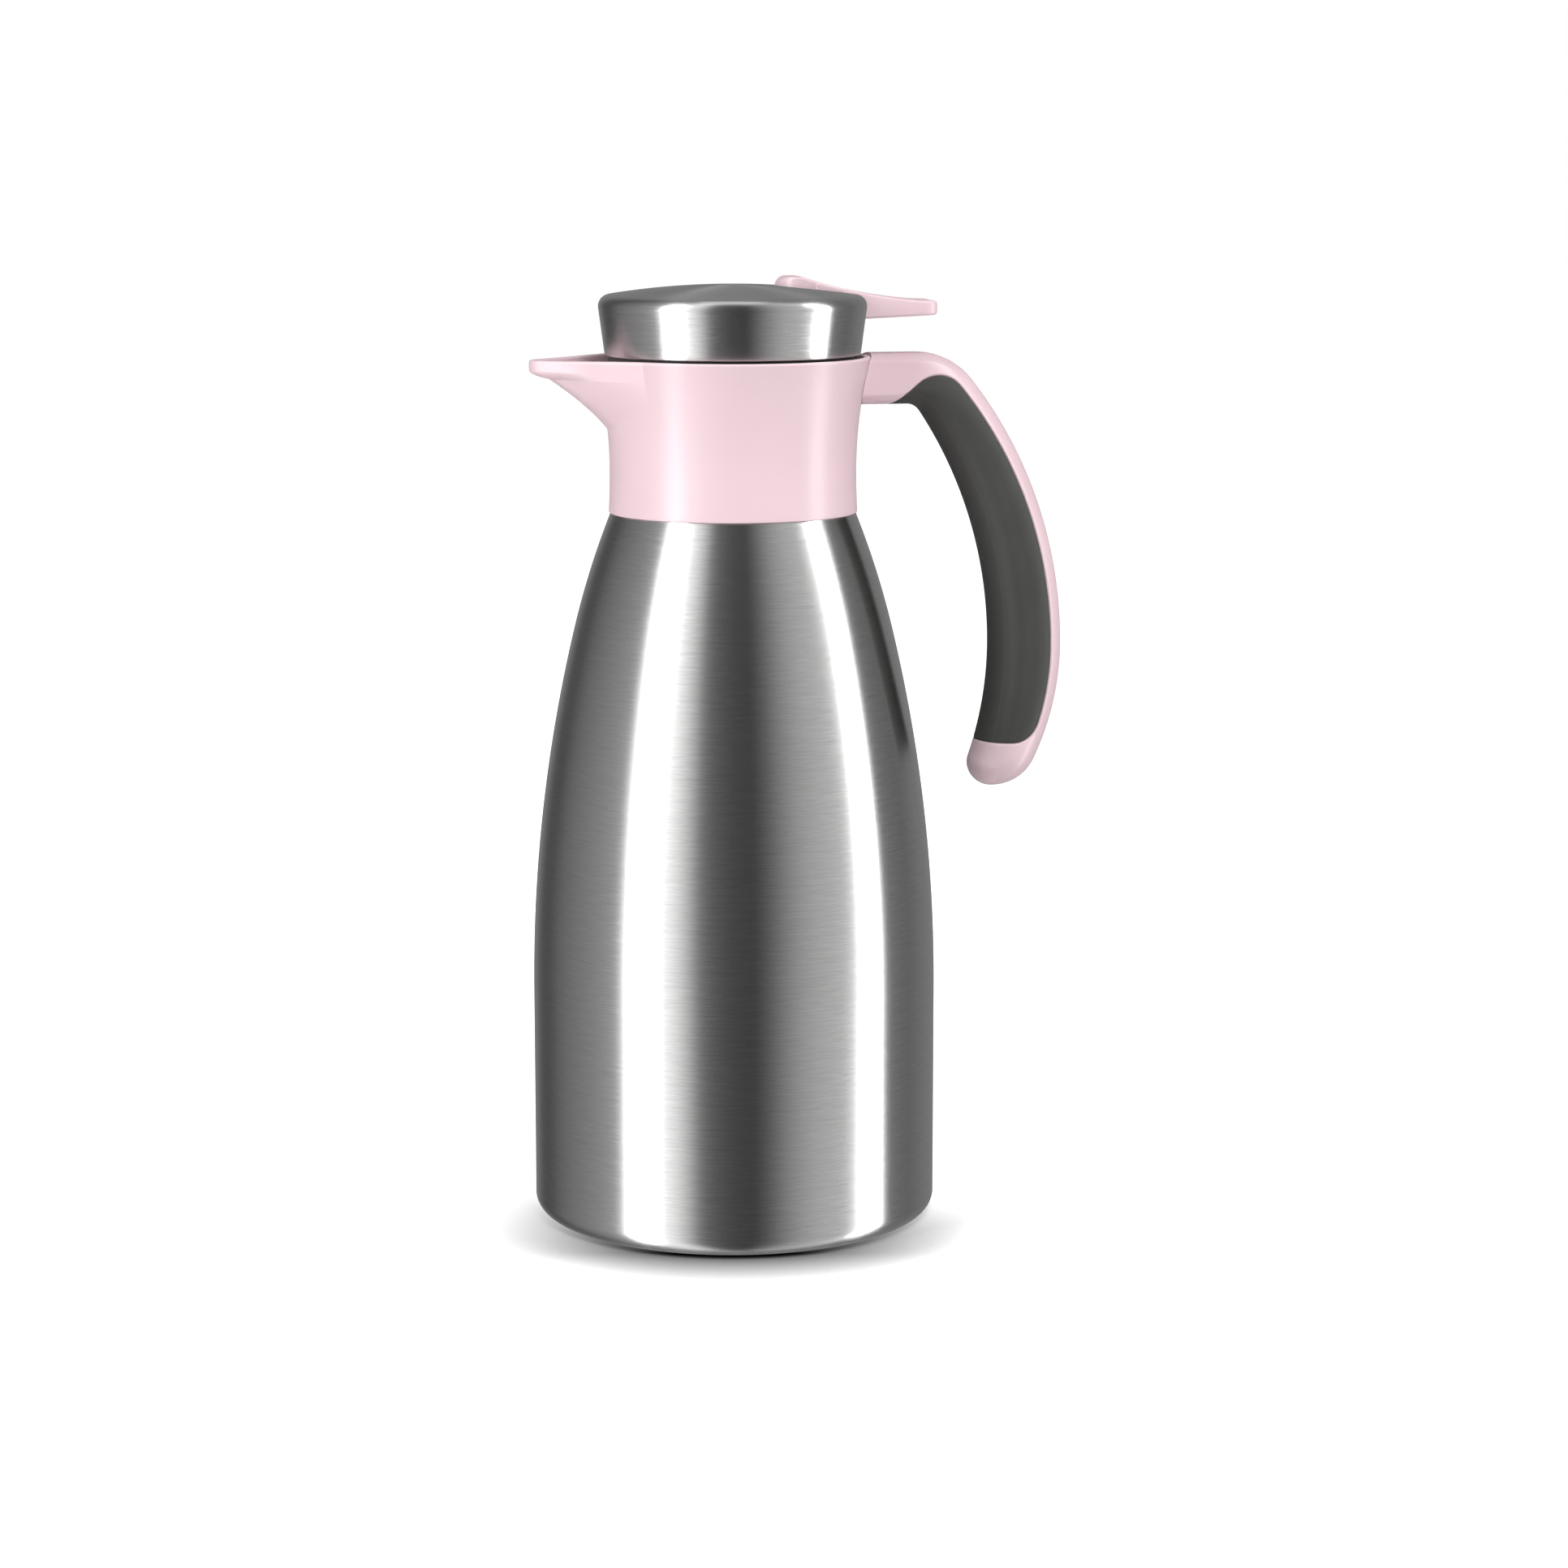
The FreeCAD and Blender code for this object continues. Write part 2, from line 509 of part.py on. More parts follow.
def add_revolution(body, corners, kind="PartDesign::Revolution", angle=None):
    """Turn an outline, drawn as radius and height, about the jug's axis."""
    name = "%s_turn%d" % (body.Name, len(body.Group))
    sketch = new_sketch(body, "XZ_Plane", name + "_outline")
    draw_outline(sketch, corners)
    feature = body.newObject(kind, name)
    feature.Profile = sketch
    feature.ReferenceAxis = (sketch, ["V_Axis"])
    feature.Angle = FULL_TURN
    if angle is not None:
        feature.Midplane = True
        bind(feature, "Angle", angle)
    return feature


def turned(name, corners):
    """A body turned about the jug's axis."""
    body = new_body(name)
    add_revolution(body, corners)
    return body


def add_side_pad(body, corners, width, kind="PartDesign::Pad"):
    """Pad, or pocket, of an outline in the XZ plane, half of width to each side."""
    name = "%s_side%d" % (body.Name, len(body.Group))
    sketch = new_sketch(body, "XZ_Plane", name + "_outline")
    draw_outline(sketch, corners)
    feature = body.newObject(kind, name)
    feature.Profile = sketch
    feature.SideType = "Symmetric"
    bind(feature, "Length", width)
    return feature


def add_plan_pad(body, foot, height, corners=None, circles=None, kind="PartDesign::Pad"):
    """Pad, or pocket, upwards by height of an outline or of circles in the plane at foot."""
    name = "%s_plan%d" % (body.Name, len(body.Group))
    sketch = new_sketch(body, "XY_Plane", name + "_outline", foot)
    if corners:
        draw_outline(sketch, corners)
    else:
        draw_circles(sketch, *circles)
    feature = body.newObject(kind, name)
    feature.Profile = sketch
    feature.Reversed = kind == "PartDesign::Pocket"
    bind(feature, "Length", height)
    return feature


def add_loft(body, sections, kind, ruled=False):
    """Loft through outlines given as (height, corners)."""
    name = "%s_loft%d" % (body.Name, len(body.Group))
    sketches = []
    for number, (height, corners) in enumerate(sections):
        sketch = new_sketch(body, "XY_Plane", "%s_section%d" % (name, number), height)
        draw_outline(sketch, corners)
        sketches.append(sketch)
    feature = body.newObject(kind, name)
    feature.Profile = sketches[0]
    feature.Sections = sketches[1:]
    feature.Ruled = ruled
    return feature


def add_thread(body, tip, base, middle, height):
    """Two-start thread: a tapered ridge from radius base to radius tip, wound up from middle by height."""
    for side in (1, -1):
        name = "%s_thread%d" % (body.Name, len(body.Group))
        sketch = new_sketch(body, "XZ_Plane", name + "_outline")
        draw_outline(
            sketch,
            [
                (side * base, middle - size.thread_base),
                (side * tip, middle - size.thread_tip),
                (side * tip, middle + size.thread_tip),
                (side * base, middle + size.thread_base),
            ],
        )
        feature = body.newObject("PartDesign::AdditiveHelix", name)
        feature.Profile = sketch
        feature.ReferenceAxis = (sketch, ["V_Axis"])
        feature.Mode = "pitch-height-angle"
        bind(feature, "Pitch", size.thread_lead)
        bind(feature, "Height", height)


def add_fillet(body, feature, radius, wanted):
    """Round the feature's edges that wanted picks."""
    doc.recompute()
    edges = feature.Shape.Edges
    names = ["Edge%d" % (number + 1) for number, edge in enumerate(edges) if wanted(edge)]
    fillet = body.newObject("PartDesign::Fillet", "%s_round%d" % (body.Name, len(body.Group)))
    fillet.Base = (feature, names)
    bind(fillet, "Radius", radius)
    return fillet


def across_at(x, z):
    """Picks the edge that runs along Y at one place of the side view."""

    def test(edge):
        points = [vertex.Point for vertex in edge.Vertexes]
        return all(math.hypot(point.x - x.number, point.z - z.number) < 0.01 for point in points)

    return test


def join(kind, name, *members):
    """A boolean of two or more objects: Part::Cut takes a base and one tool, the others a list."""
    feature = doc.addObject(kind, name)
    if kind == "Part::Cut":
        feature.Base, feature.Tool = members
    elif kind == "Part::Compound":
        feature.Links = list(members)
    else:
        feature.Shapes = list(members)
    return feature


def cylinder(name, radius, height, x=ZERO, y=ZERO, z=ZERO, along="Z"):
    """A cylinder whose foot is at x, y, z."""
    feature = doc.addObject("Part::Cylinder", name)
    bind(feature, "Radius", radius)
    bind(feature, "Height", height)
    turns = {"Z": ((0, 0, 1), 0), "X": ((0, 1, 0), 90), "Y": ((1, 0, 0), -90)}
    axis, angle = turns[along]
    feature.Placement.Rotation = FreeCAD.Rotation(FreeCAD.Vector(*axis), angle)
    for letter, value in zip("xyz", (x, y, z)):
        bind(feature, "Placement.Base.%s" % letter, value)
    return feature


# The steel body's profile: straight side, long taper, tighter shoulder, neck. Each curve keeps its centre
# when it is offset, so the walls run parallel.
TAPER_SINE = (size.shoulder_start - size.side_top) / size.taper_radius
TAPER_COSINE = leg(as_size(1), TAPER_SINE)
TAPER_CENTRE = size.body_radius - size.taper_radius
SHOULDER_X = TAPER_CENTRE + (size.taper_radius - size.shoulder_radius) * TAPER_COSINE
SHOULDER_Z = size.side_top + (size.taper_radius - size.shoulder_radius) * TAPER_SINE


def shoulder_point(inset):
    """Where the taper meets the shoulder on a wall set in by inset."""
    radius = size.taper_radius - inset
    return (TAPER_CENTRE + radius * TAPER_COSINE, size.side_top + radius * TAPER_SINE)


def shoulder_height(inset, radius):
    """Height at which the shoulder of a wall set in by inset has shrunk to radius."""
    return SHOULDER_Z + leg(size.shoulder_radius - inset, radius - SHOULDER_X)


def shoulder_reach(inset, height):
    """Radius of the shoulder of a wall set in by inset, at a height."""
    return SHOULDER_X + leg(size.shoulder_radius - inset, height - SHOULDER_Z)


# The collar's lower edge flares out from its waist, and further where a wider shoulder needs the room.
follow("shoulder_at_collar", shoulder_reach(ZERO, size.collar_foot))
follow(
    "collar_foot_radius",
    larger(
        size.collar_waist_radius + size.collar_foot_flare,
        size.shoulder_at_collar + size.collar_shell_gap + size.collar_foot_edge,
    ),
)
doc.recompute()


RIM_FOOT = size.rim_height - size.liner_wall


def make_outer_shell():
    """Outer steel wall from the underside's opening to just below the rim."""
    wall = size.shell_wall
    inner_neck = size.neck_radius - wall
    return turned(
        "outer_shell",
        [
            (size.base_hole_radius, ZERO),
            (size.body_radius - size.base_fillet, ZERO, size.base_fillet),
            (size.body_radius, size.base_fillet),
            (size.body_radius, size.side_top, size.taper_radius),
            shoulder_point(ZERO) + (size.shoulder_radius,),
            (size.neck_radius, shoulder_height(ZERO, size.neck_radius)),
            (size.neck_radius, RIM_FOOT),
            (inner_neck, RIM_FOOT),
            (inner_neck, shoulder_height(wall, inner_neck), wall - size.shoulder_radius),
            shoulder_point(wall) + (wall - size.taper_radius,),
            (size.body_radius - wall, size.side_top),
            (size.body_radius - wall, size.base_fillet, wall - size.base_fillet),
            (size.body_radius - size.base_fillet, wall),
            (size.base_hole_radius, wall),
        ],
    )


LINER_NECK = size.neck_radius - size.shell_wall - size.neck_gap


def make_inner_liner():
    """Inner vessel, whose rim is rolled out over the outer wall's neck."""
    outer = size.shell_wall + size.vacuum_gap
    inner = outer + size.liner_wall
    side = size.body_radius - outer
    floor = size.liner_floor + size.liner_wall
    corner_top = size.liner_floor + size.liner_corner
    return turned(
        "inner_liner",
        [
            (ZERO, size.liner_floor),
            (side - size.liner_corner, size.liner_floor, size.liner_corner),
            (side, corner_top),
            (side, size.side_top, size.taper_radius - outer),
            shoulder_point(outer) + (size.shoulder_radius - outer,),
            (LINER_NECK, shoulder_height(outer, LINER_NECK)),
            (LINER_NECK, RIM_FOOT),
            (size.rim_radius, RIM_FOOT),
            (size.rim_radius, size.rim_height),
            (size.mouth_radius, size.rim_height),
            (size.mouth_radius, shoulder_height(inner, size.mouth_radius), inner - size.shoulder_radius),
            shoulder_point(inner) + (inner - size.taper_radius,),
            (side - size.liner_wall, size.side_top),
            (side - size.liner_wall, corner_top, size.liner_wall - size.liner_corner),
            (side - size.liner_corner, floor),
            (ZERO, floor),
        ],
    )


def make_shell_bottom():
    """Plate with an upturned edge that closes the vacuum space, with the evacuation hole."""
    edge = size.body_radius - size.shell_wall - size.weld_gap
    top = size.closing_height + size.shell_wall
    return turned(
        "shell_bottom",
        [
            (size.evacuation_radius, size.closing_height),
            (edge, size.closing_height),
            (edge, size.closing_height + size.closing_flange),
            (edge - size.shell_wall, size.closing_height + size.closing_flange),
            (edge - size.shell_wall, top),
            (size.evacuation_radius, top),
        ],
    )


def make_vacuum_seal():
    """Solder plug in the evacuation hole, with a head under the plate."""
    stem = size.evacuation_radius - size.weld_gap
    foot = size.closing_height - size.seal_plug_height
    return turned(
        "vacuum_seal",
        [
            (ZERO, foot),
            (stem, foot),
            (size.seal_plug_radius, size.closing_height),
            (stem, size.closing_height),
            (stem, size.closing_height + size.shell_wall),
            (ZERO, size.closing_height + size.shell_wall),
        ],
    )


def make_getter():
    """Getter pellet on the closing plate, in the vacuum space."""
    seat = size.closing_height + size.shell_wall
    return cylinder("getter", size.getter_radius, size.getter_height, x=size.getter_offset, z=seat)


def make_base_plate():
    """Base disc, flush with the shell's underside, with a stamped groove."""
    half = size.base_groove_width / 2
    slope = size.base_groove_depth
    inner = size.base_groove_radius - half
    outer = size.base_groove_radius + half
    edge = size.base_hole_radius - size.weld_gap
    return turned(
        "base_plate",
        [
            (ZERO, ZERO),
            (inner, ZERO),
            (inner + slope, size.base_groove_depth),
            (outer - slope, size.base_groove_depth),
            (outer, ZERO),
            (edge, ZERO),
            (edge, size.base_thickness),
            (ZERO, size.base_thickness),
        ],
    )


SLEEVE_FOOT = size.rim_height + size.gasket_height
SKIRT_FOOT = size.rim_height - size.sleeve_skirt_drop


def make_neck_gasket():
    """Gasket between the rim and the sleeve's foot."""
    outer = size.sleeve_lip_radius + size.gasket_width
    return turned(
        "neck_gasket",
        [
            (size.sleeve_lip_radius, size.rim_height),
            (outer, size.rim_height),
            (outer, SLEEVE_FOOT),
            (size.sleeve_lip_radius, SLEEVE_FOOT),
        ],
    )


def make_neck_sleeve():
    """Sleeve clipped under the rim, with a flange that holds the collar and the closure's thread."""
    lip_top = SLEEVE_FOOT + size.sleeve_lip_height
    flange_foot = size.sleeve_top - size.sleeve_flange
    skirt = size.rim_radius + size.soft_gap
    clip_top = RIM_FOOT - size.soft_gap
    body = turned(
        "neck_sleeve",
        [
            (size.sleeve_lip_radius, SLEEVE_FOOT),
            (skirt, SLEEVE_FOOT),
            (skirt, clip_top),
            (size.sleeve_clip_radius, clip_top),
            (skirt, SKIRT_FOOT),
            (size.sleeve_radius, SKIRT_FOOT),
            (size.sleeve_radius, flange_foot),
            (size.sleeve_flange_radius, flange_foot),
            (size.sleeve_flange_radius, size.sleeve_top),
            (size.sleeve_bore, size.sleeve_top),
            (size.sleeve_bore, lip_top),
            (size.sleeve_lip_radius, lip_top),
        ],
    )
    base = size.sleeve_bore + size.thread_root
    add_thread(body, size.sleeve_thread_radius, base, size.thread_start, size.sleeve_thread_height)
    return body


COLLAR_FLARE = sagitta_radius(
    size.collar_top - size.collar_waist, size.collar_top_radius - size.collar_waist_radius
)


def collar_reach(height):
    """Outside radius of the collar at a height above its waist."""
    return size.collar_waist_radius + COLLAR_FLARE - leg(COLLAR_FLARE, height - size.collar_waist)


def collar_outside(gap, top):
    """Outer profile of the collar, grown by gap, from its foot to top, closed along the axis."""
    waist = size.collar_waist_radius
    low = sagitta_radius(size.collar_waist - size.collar_foot, size.collar_foot_radius - waist)
    high = COLLAR_FLARE
    return [
        (ZERO, size.collar_foot),
        (size.collar_foot_radius + gap, size.collar_foot, -low),
        (waist + gap, size.collar_waist, -high),
        (size.collar_top_radius + gap, size.collar_top),
        (size.collar_top_radius + gap, top),
        (ZERO, top),
    ]


def spout_section(reach, nose, root_radius, root_angle):
    """Outline in plan: two flanks from a place on the collar to a round nose."""
    root_x = -(root_radius * cosine(root_angle))
    root_y = root_radius * sine(root_angle)
    nose_x = -(reach - nose + nose * sine(size.spout_flank_angle))
    nose_y = nose * cosine(size.spout_flank_angle)
    return [(root_x, root_y), (nose_x, nose_y, nose), (nose_x, -nose_y), (root_x, -root_y)]


def beak_section(share):
    """Section of the beak at a share of its height: its reach grows with a hollow bow."""
    height = size.spout_foot + share * (size.spout_lip_foot - size.spout_foot)
    straight = size.spout_foot_reach + share * (size.spout_beak_reach - size.spout_foot_reach)
    reach = straight - 4 * share * (1 - share) * size.spout_bow
    nose = size.spout_foot_round + share * (size.spout_beak_round - size.spout_foot_round)
    return (height, lip_section(height, reach, nose))


def lip_section(height, reach, nose):
    """Section of the spout at a height, rooted just inside the collar's outside."""
    root_radius = collar_reach(height) - size.spout_root_sink
    return spout_section(reach, nose, root_radius, size.spout_root_angle)


def make_collar(envelope):
    """Collar with the spout and its trough, the sleeve's seat, and a boss for the handle's screws."""
    body = new_body("collar_moulding")
    outside = collar_outside(ZERO, size.collar_top)
    add_revolution(body, outside[:4] + outside[5:])
    add_loft(body, [beak_section(share) for share in (0.0, 0.35, 0.7, 1.0)], "PartDesign::AdditiveLoft")
    swell_top = size.spout_lip_foot + size.spout_lip_swell
    rise_top = size.spout_lip_foot + size.spout_lip_rise
    nose = size.spout_tip_round
    lip_sections = [
        beak_section(1.0),
        (swell_top, lip_section(swell_top, size.spout_reach - size.spout_lip_round, nose)),
        (rise_top, lip_section(rise_top, size.spout_reach, nose)),
        (size.collar_top, lip_section(size.collar_top, size.spout_reach, nose)),
    ]
    add_loft(body, lip_sections, "PartDesign::AdditiveLoft", ruled=True)
    bore = size.sleeve_radius + size.seat_gap
    flange = size.sleeve_flange_radius + size.soft_gap
    flange_foot = size.sleeve_top - size.sleeve_flange
    ledge = SKIRT_FOOT - size.soft_gap
    foot_inner = size.collar_foot_radius - size.collar_foot_edge
    clearance = foot_inner - size.shoulder_at_collar
    shell_side = -(size.shoulder_radius + clearance)
    add_revolution(
        body,
        [
            (ZERO, size.collar_foot - size.cut_margin),
            (foot_inner, size.collar_foot - size.cut_margin),
            (foot_inner, size.collar_foot, -shell_side),
            (size.collar_ledge_radius, shoulder_height(-clearance, size.collar_ledge_radius)),
            (size.collar_ledge_radius, ledge),
            (bore, ledge),
            (bore, flange_foot),
            (flange, flange_foot),
            (flange, size.sleeve_top),
            (size.collar_mouth_radius, size.collar_top),
            (size.collar_mouth_radius, size.collar_top + size.cut_margin),
            (ZERO, size.collar_top + size.cut_margin),
        ],
        "PartDesign::Groove",
    )
    root_radius = flange - size.trough_wall / 2
    end_reach = size.spout_reach - size.trough_wall
    end_nose = size.spout_tip_round - size.trough_wall
    trough = []
    for share in (0.0, 0.4, 0.75, 1.0):
        height = size.sleeve_top + share * (size.trough_tip_floor - size.sleeve_top)
        reach = root_radius + share * (end_reach - size.trough_wall / 2 - root_radius)
        nose = size.spout_foot_round + share * (end_nose - size.spout_foot_round)
        trough.append((height, spout_section(reach, nose, root_radius, size.trough_root_angle)))
    add_loft(body, trough, "PartDesign::SubtractiveLoft")
    mouth_nose = size.spout_tip_round - size.trough_wall / 2
    mouth = spout_section(end_reach, mouth_nose, root_radius, size.trough_root_angle)
    mouth_top = size.collar_top + size.cut_margin
    add_loft(body, [trough[-1], (mouth_top, mouth)], "PartDesign::SubtractiveLoft", ruled=True)

    boss = doc.addObject("Part::Box", "screw_boss_block")
    bind(boss, "Length", size.collar_top_radius - size.screw_boss_face)
    bind(boss, "Width", size.screw_boss_width)
    bind(boss, "Height", size.screw_boss_height)
    bind(boss, "Placement.Base.x", size.screw_boss_face)
    bind(boss, "Placement.Base.y", -(size.screw_boss_width / 2))
    bind(boss, "Placement.Base.z", size.handle_screw_height - size.screw_boss_height / 2)
    seated = join("Part::MultiCommon", "screw_boss", boss, envelope)
    whole = join("Part::MultiFuse", "collar_with_boss", body, seated)
    holes = screw_holes("collar_hole", size.handle_screw_radius + 2 * size.screw_gap, size.collar_top_radius)
    return join("Part::Cut", "collar", whole, holes)


def screw_holes(name, radius, far_end):
    """The two handle screws' holes, from the boss's face to far_end."""
    length = far_end - size.screw_boss_face + size.cut_margin
    holes = []
    for side in (1, -1):
        hole = cylinder(
            "%s_%s" % (name, "left" if side > 0 else "right"),
            radius,
            length,
            x=size.screw_boss_face - size.cut_margin,
            y=side * size.handle_screw_spread,
            z=size.handle_screw_height,
            along="X",
        )
        holes.append(hole)
    return join("Part::MultiFuse", name + "s", *holes)


def make_handle_screws():
    """Two screws, heads on the boss inside the collar, driven into the arm."""
    screws = []
    for side in (1, -1):
        name = "handle_screw_%s" % ("left" if side > 0 else "right")
        place = {"y": side * size.handle_screw_spread, "z": size.handle_screw_height, "along": "X"}
        head_foot = size.screw_boss_face - size.handle_screw_head_height
        head_height = size.handle_screw_head_height
        head = cylinder(name + "_head", size.handle_screw_head, head_height, x=head_foot, **place)
        seat = size.screw_boss_face
        length = size.handle_screw_length
        shank = cylinder(name + "_shank", size.handle_screw_radius, length, x=seat, **place)
        screws.append(join("Part::MultiFuse", name, head, shank))
    return join("Part::Compound", "handle_screws", *screws)


# The handle's side view: each side is an upper and a lower arc that meet, upright, at its furthest reach.
PALM_REACH = size.handle_reach - size.handle_depth
SPINE_UPPER_X = size.handle_reach - size.spine_upper_radius
SPINE_LOWER_X = size.handle_reach - size.spine_lower_radius
PALM_UPPER_X = PALM_REACH - size.palm_upper_radius
PALM_LOWER_X = PALM_REACH - size.palm_lower_radius
ARM_ROOT = size.collar_ledge_radius


def side_at(centre_x, radius, height):
    """Place on one of the handle's arcs at a height."""
    return (centre_x + leg(radius, height - size.handle_middle), height)


def make_handle_block():
    """The whole handle: side outline, rounded at its bends and along its edges."""
    body = new_body("handle_block")
    bend = side_at(SPINE_UPPER_X, size.spine_upper_radius, size.arm_top)
    corner = side_at(PALM_UPPER_X, size.palm_upper_radius, size.arm_underside)
    tip_outer = side_at(SPINE_LOWER_X, size.spine_lower_radius, size.tip_foot)
    tip_inner = side_at(PALM_LOWER_X, size.palm_lower_radius, size.tip_foot)
    feature = add_side_pad(
        body,
        [
            (ARM_ROOT, size.arm_top),
            bend + (-size.spine_upper_radius,),
            (size.handle_reach, size.handle_middle, -size.spine_lower_radius),
            tip_outer,
            tip_inner + (size.palm_lower_radius,),
            (PALM_REACH, size.handle_middle, size.palm_upper_radius),
            corner,
            (ARM_ROOT, size.arm_underside),
        ],
        size.handle_width,
    )
    feature = add_fillet(body, feature, size.arm_bend, across_at(*bend))
    feature = add_fillet(body, feature, size.arm_corner, across_at(*corner))
    feature = add_fillet(body, feature, size.tip_outer_round, across_at(*tip_outer))
    feature = add_fillet(body, feature, size.tip_inner_round, across_at(*tip_inner))
    half = size.handle_width.number / 2

    def long_edge(edge):
        points = [vertex.Point for vertex in edge.Vertexes]
        on_side = all(abs(abs(point.y) - half) < 0.01 for point in points) and points[0].y * points[-1].y > 0
        at_root = all(abs(point.x - ARM_ROOT.number) < 0.01 for point in points)
        return on_side and not at_root

    add_fillet(body, feature, size.handle_edge, long_edge)
    return body


def make_grip_area():
    """Block that holds the grip in the side view: crest, spine side, foot, and air on the finger side."""
    body = new_body("grip_area")
    crest_reach = size.spine_upper_radius - size.grip_band - size.grip_crest_round
    crest_x = SPINE_UPPER_X + crest_reach * cosine(size.grip_crest_angle)
    crest_z = size.handle_middle + crest_reach * sine(size.grip_crest_angle)
    start = (
        crest_x - size.grip_crest_round * sine(size.grip_slope),
        crest_z + size.grip_crest_round * cosine(size.grip_slope),
    )
    below = size.arm_underside - size.cut_margin
    slope_foot = start[0] - (start[1] - below) * cosine(size.grip_slope) / sine(size.grip_slope)
    end = (
        crest_x + size.grip_crest_round * cosine(size.grip_crest_angle),
        crest_z + size.grip_crest_round * sine(size.grip_crest_angle),
    )
    upper = size.spine_upper_radius - size.grip_band
    lower = size.spine_lower_radius - size.grip_band
    foot_corner = side_at(SPINE_LOWER_X, lower, size.grip_foot)
    inside = PALM_REACH - size.handle_depth / 2
    feature = add_side_pad(
        body,
        [
            (slope_foot, below),
            start + (-size.grip_crest_round,),
            end + (-upper,),
            (size.handle_reach - size.grip_band, size.handle_middle, -lower),
            foot_corner,
            (inside, size.grip_foot),
            (inside, size.handle_middle),
        ],
        size.handle_width + 2 * size.cut_margin,
    )
    add_fillet(body, feature, size.grip_foot_round, across_at(*foot_corner))
    return body


def make_grip_core():
    """Block that keeps the hard core: everything more than the skin away from the sides and finger side."""
    body = new_body("grip_core")
    skin = size.grip_skin
    under = side_at(PALM_UPPER_X, size.palm_upper_radius + skin, size.arm_underside + skin)
    foot = side_at(PALM_LOWER_X, size.palm_lower_radius + skin, size.grip_foot + skin)
    outside = size.handle_reach + size.handle_depth
    top = size.arm_top + size.handle_depth
    add_side_pad(
        body,
        [
            (ARM_ROOT, size.arm_underside + skin),
            under + (-(size.palm_upper_radius + skin),),
            (PALM_REACH + skin, size.handle_middle, -(size.palm_lower_radius + skin)),
            foot,
            (outside, size.grip_foot + skin),
            (outside, top),
            (ARM_ROOT, top),
        ],
        size.handle_width - 2 * skin,
    )
    return body


def make_handle():
    """Hard handle frame and the soft grip moulded round it."""
    block = make_handle_block()
    covered = join("Part::MultiCommon", "grip_block", block, make_grip_area())
    grip = join("Part::Cut", "soft_grip", covered, make_grip_core())
    clear = turned("arm_seat", collar_outside(size.root_gap, size.arm_top + size.cut_margin))
    bare = join("Part::Cut", "handle_bare", block, grip)
    seated = join("Part::Cut", "handle_seated", bare, clear)
    screw_end = size.screw_boss_face + size.handle_screw_length + size.screw_tail
    holes = screw_holes("arm_hole", size.handle_screw_radius + size.screw_gap, screw_end)
    frame = join("Part::Cut", "handle_frame", seated, holes)
    return frame, grip


DECK_TOP = size.deck_height + size.deck_thickness
SHOULDER_FOOT = size.rim_height + 2 * size.rest_gap + size.neck_seal_height


def third_places(circle):
    """Three places evenly round the axis, the first on the spout's side."""
    across = circle * cosine(as_size(FULL_TURN / 6))
    aside = circle * sine(as_size(FULL_TURN / 6))
    return [(-circle, ZERO), (across, aside), (across, -aside)]


def make_stopper_body():
    """Threaded stopper: barrel, pour windows, deck with the rod's guide, and bosses for three screws."""
    body = new_body("stopper_body")
    bore = size.stem_radius + size.stem_play
    seal_bore = size.stem_seal_radius + 2 * size.stem_play
    seal_foot = DECK_TOP - size.stem_seal_height - 2 * size.stem_play
    neck_inner = size.stopper_neck_radius - size.stopper_wall
    barrel_inner = size.stopper_radius - size.stopper_wall
    add_revolution(
        body,
        [
            (neck_inner, size.stopper_foot),
            (size.stopper_neck_radius, size.stopper_foot),
            (size.stopper_neck_radius, SHOULDER_FOOT),
            (size.stopper_radius, SHOULDER_FOOT),
            (size.stopper_radius, size.deck_height),
            (size.deck_radius, size.deck_height),
            (size.deck_radius, DECK_TOP),
            (seal_bore, DECK_TOP),
            (seal_bore, seal_foot),
            (bore, seal_foot),
            (bore, size.guide_foot),
            (size.guide_radius, size.guide_foot),
            (size.guide_radius, size.deck_height),
            (barrel_inner, size.deck_height),
            (barrel_inner, SHOULDER_FOOT + size.stopper_wall),
            (neck_inner, SHOULDER_FOOT + size.stopper_wall),
        ],
    )
    places = third_places(size.liner_screw_circle)
    hole_foot = DECK_TOP + size.liner_thickness - size.liner_screw_length - size.screw_tail
    boss_foot = hole_foot - size.screw_floor
    add_plan_pad(body, boss_foot, DECK_TOP - boss_foot, circles=(places, size.liner_screw_boss))
    hole = size.liner_screw_radius + size.screw_gap
    add_plan_pad(body, hole_foot, DECK_TOP - hole_foot, circles=(places, hole), kind="PartDesign::Pocket")
    window = add_revolution(
        body,
        [
            (barrel_inner - size.cut_margin, size.window_foot),
            (size.stopper_radius + size.cut_margin, size.window_foot),
            (size.stopper_radius + size.cut_margin, size.window_top),
            (barrel_inner - size.cut_margin, size.window_top),
        ],
        "PartDesign::Groove",
        size.window_angle,
    )
    ring = body.newObject("PartDesign::PolarPattern", "stopper_windows")
    ring.Originals = [window]
    axes = [axis for axis in body.Origin.OriginFeatures if axis.Role == "Z_Axis"]
    ring.Axis = (axes[0], [""])
    ring.Angle = FULL_TURN
    bind(ring, "Occurrences", size.window_count)
    body.Tip = ring
    doc.recompute()
    middle = size.thread_start + size.thread_lead / 4
    base = size.stopper_radius - size.thread_root
    add_thread(body, size.stopper_thread_radius, base, middle, size.stopper_thread_height)
    return body


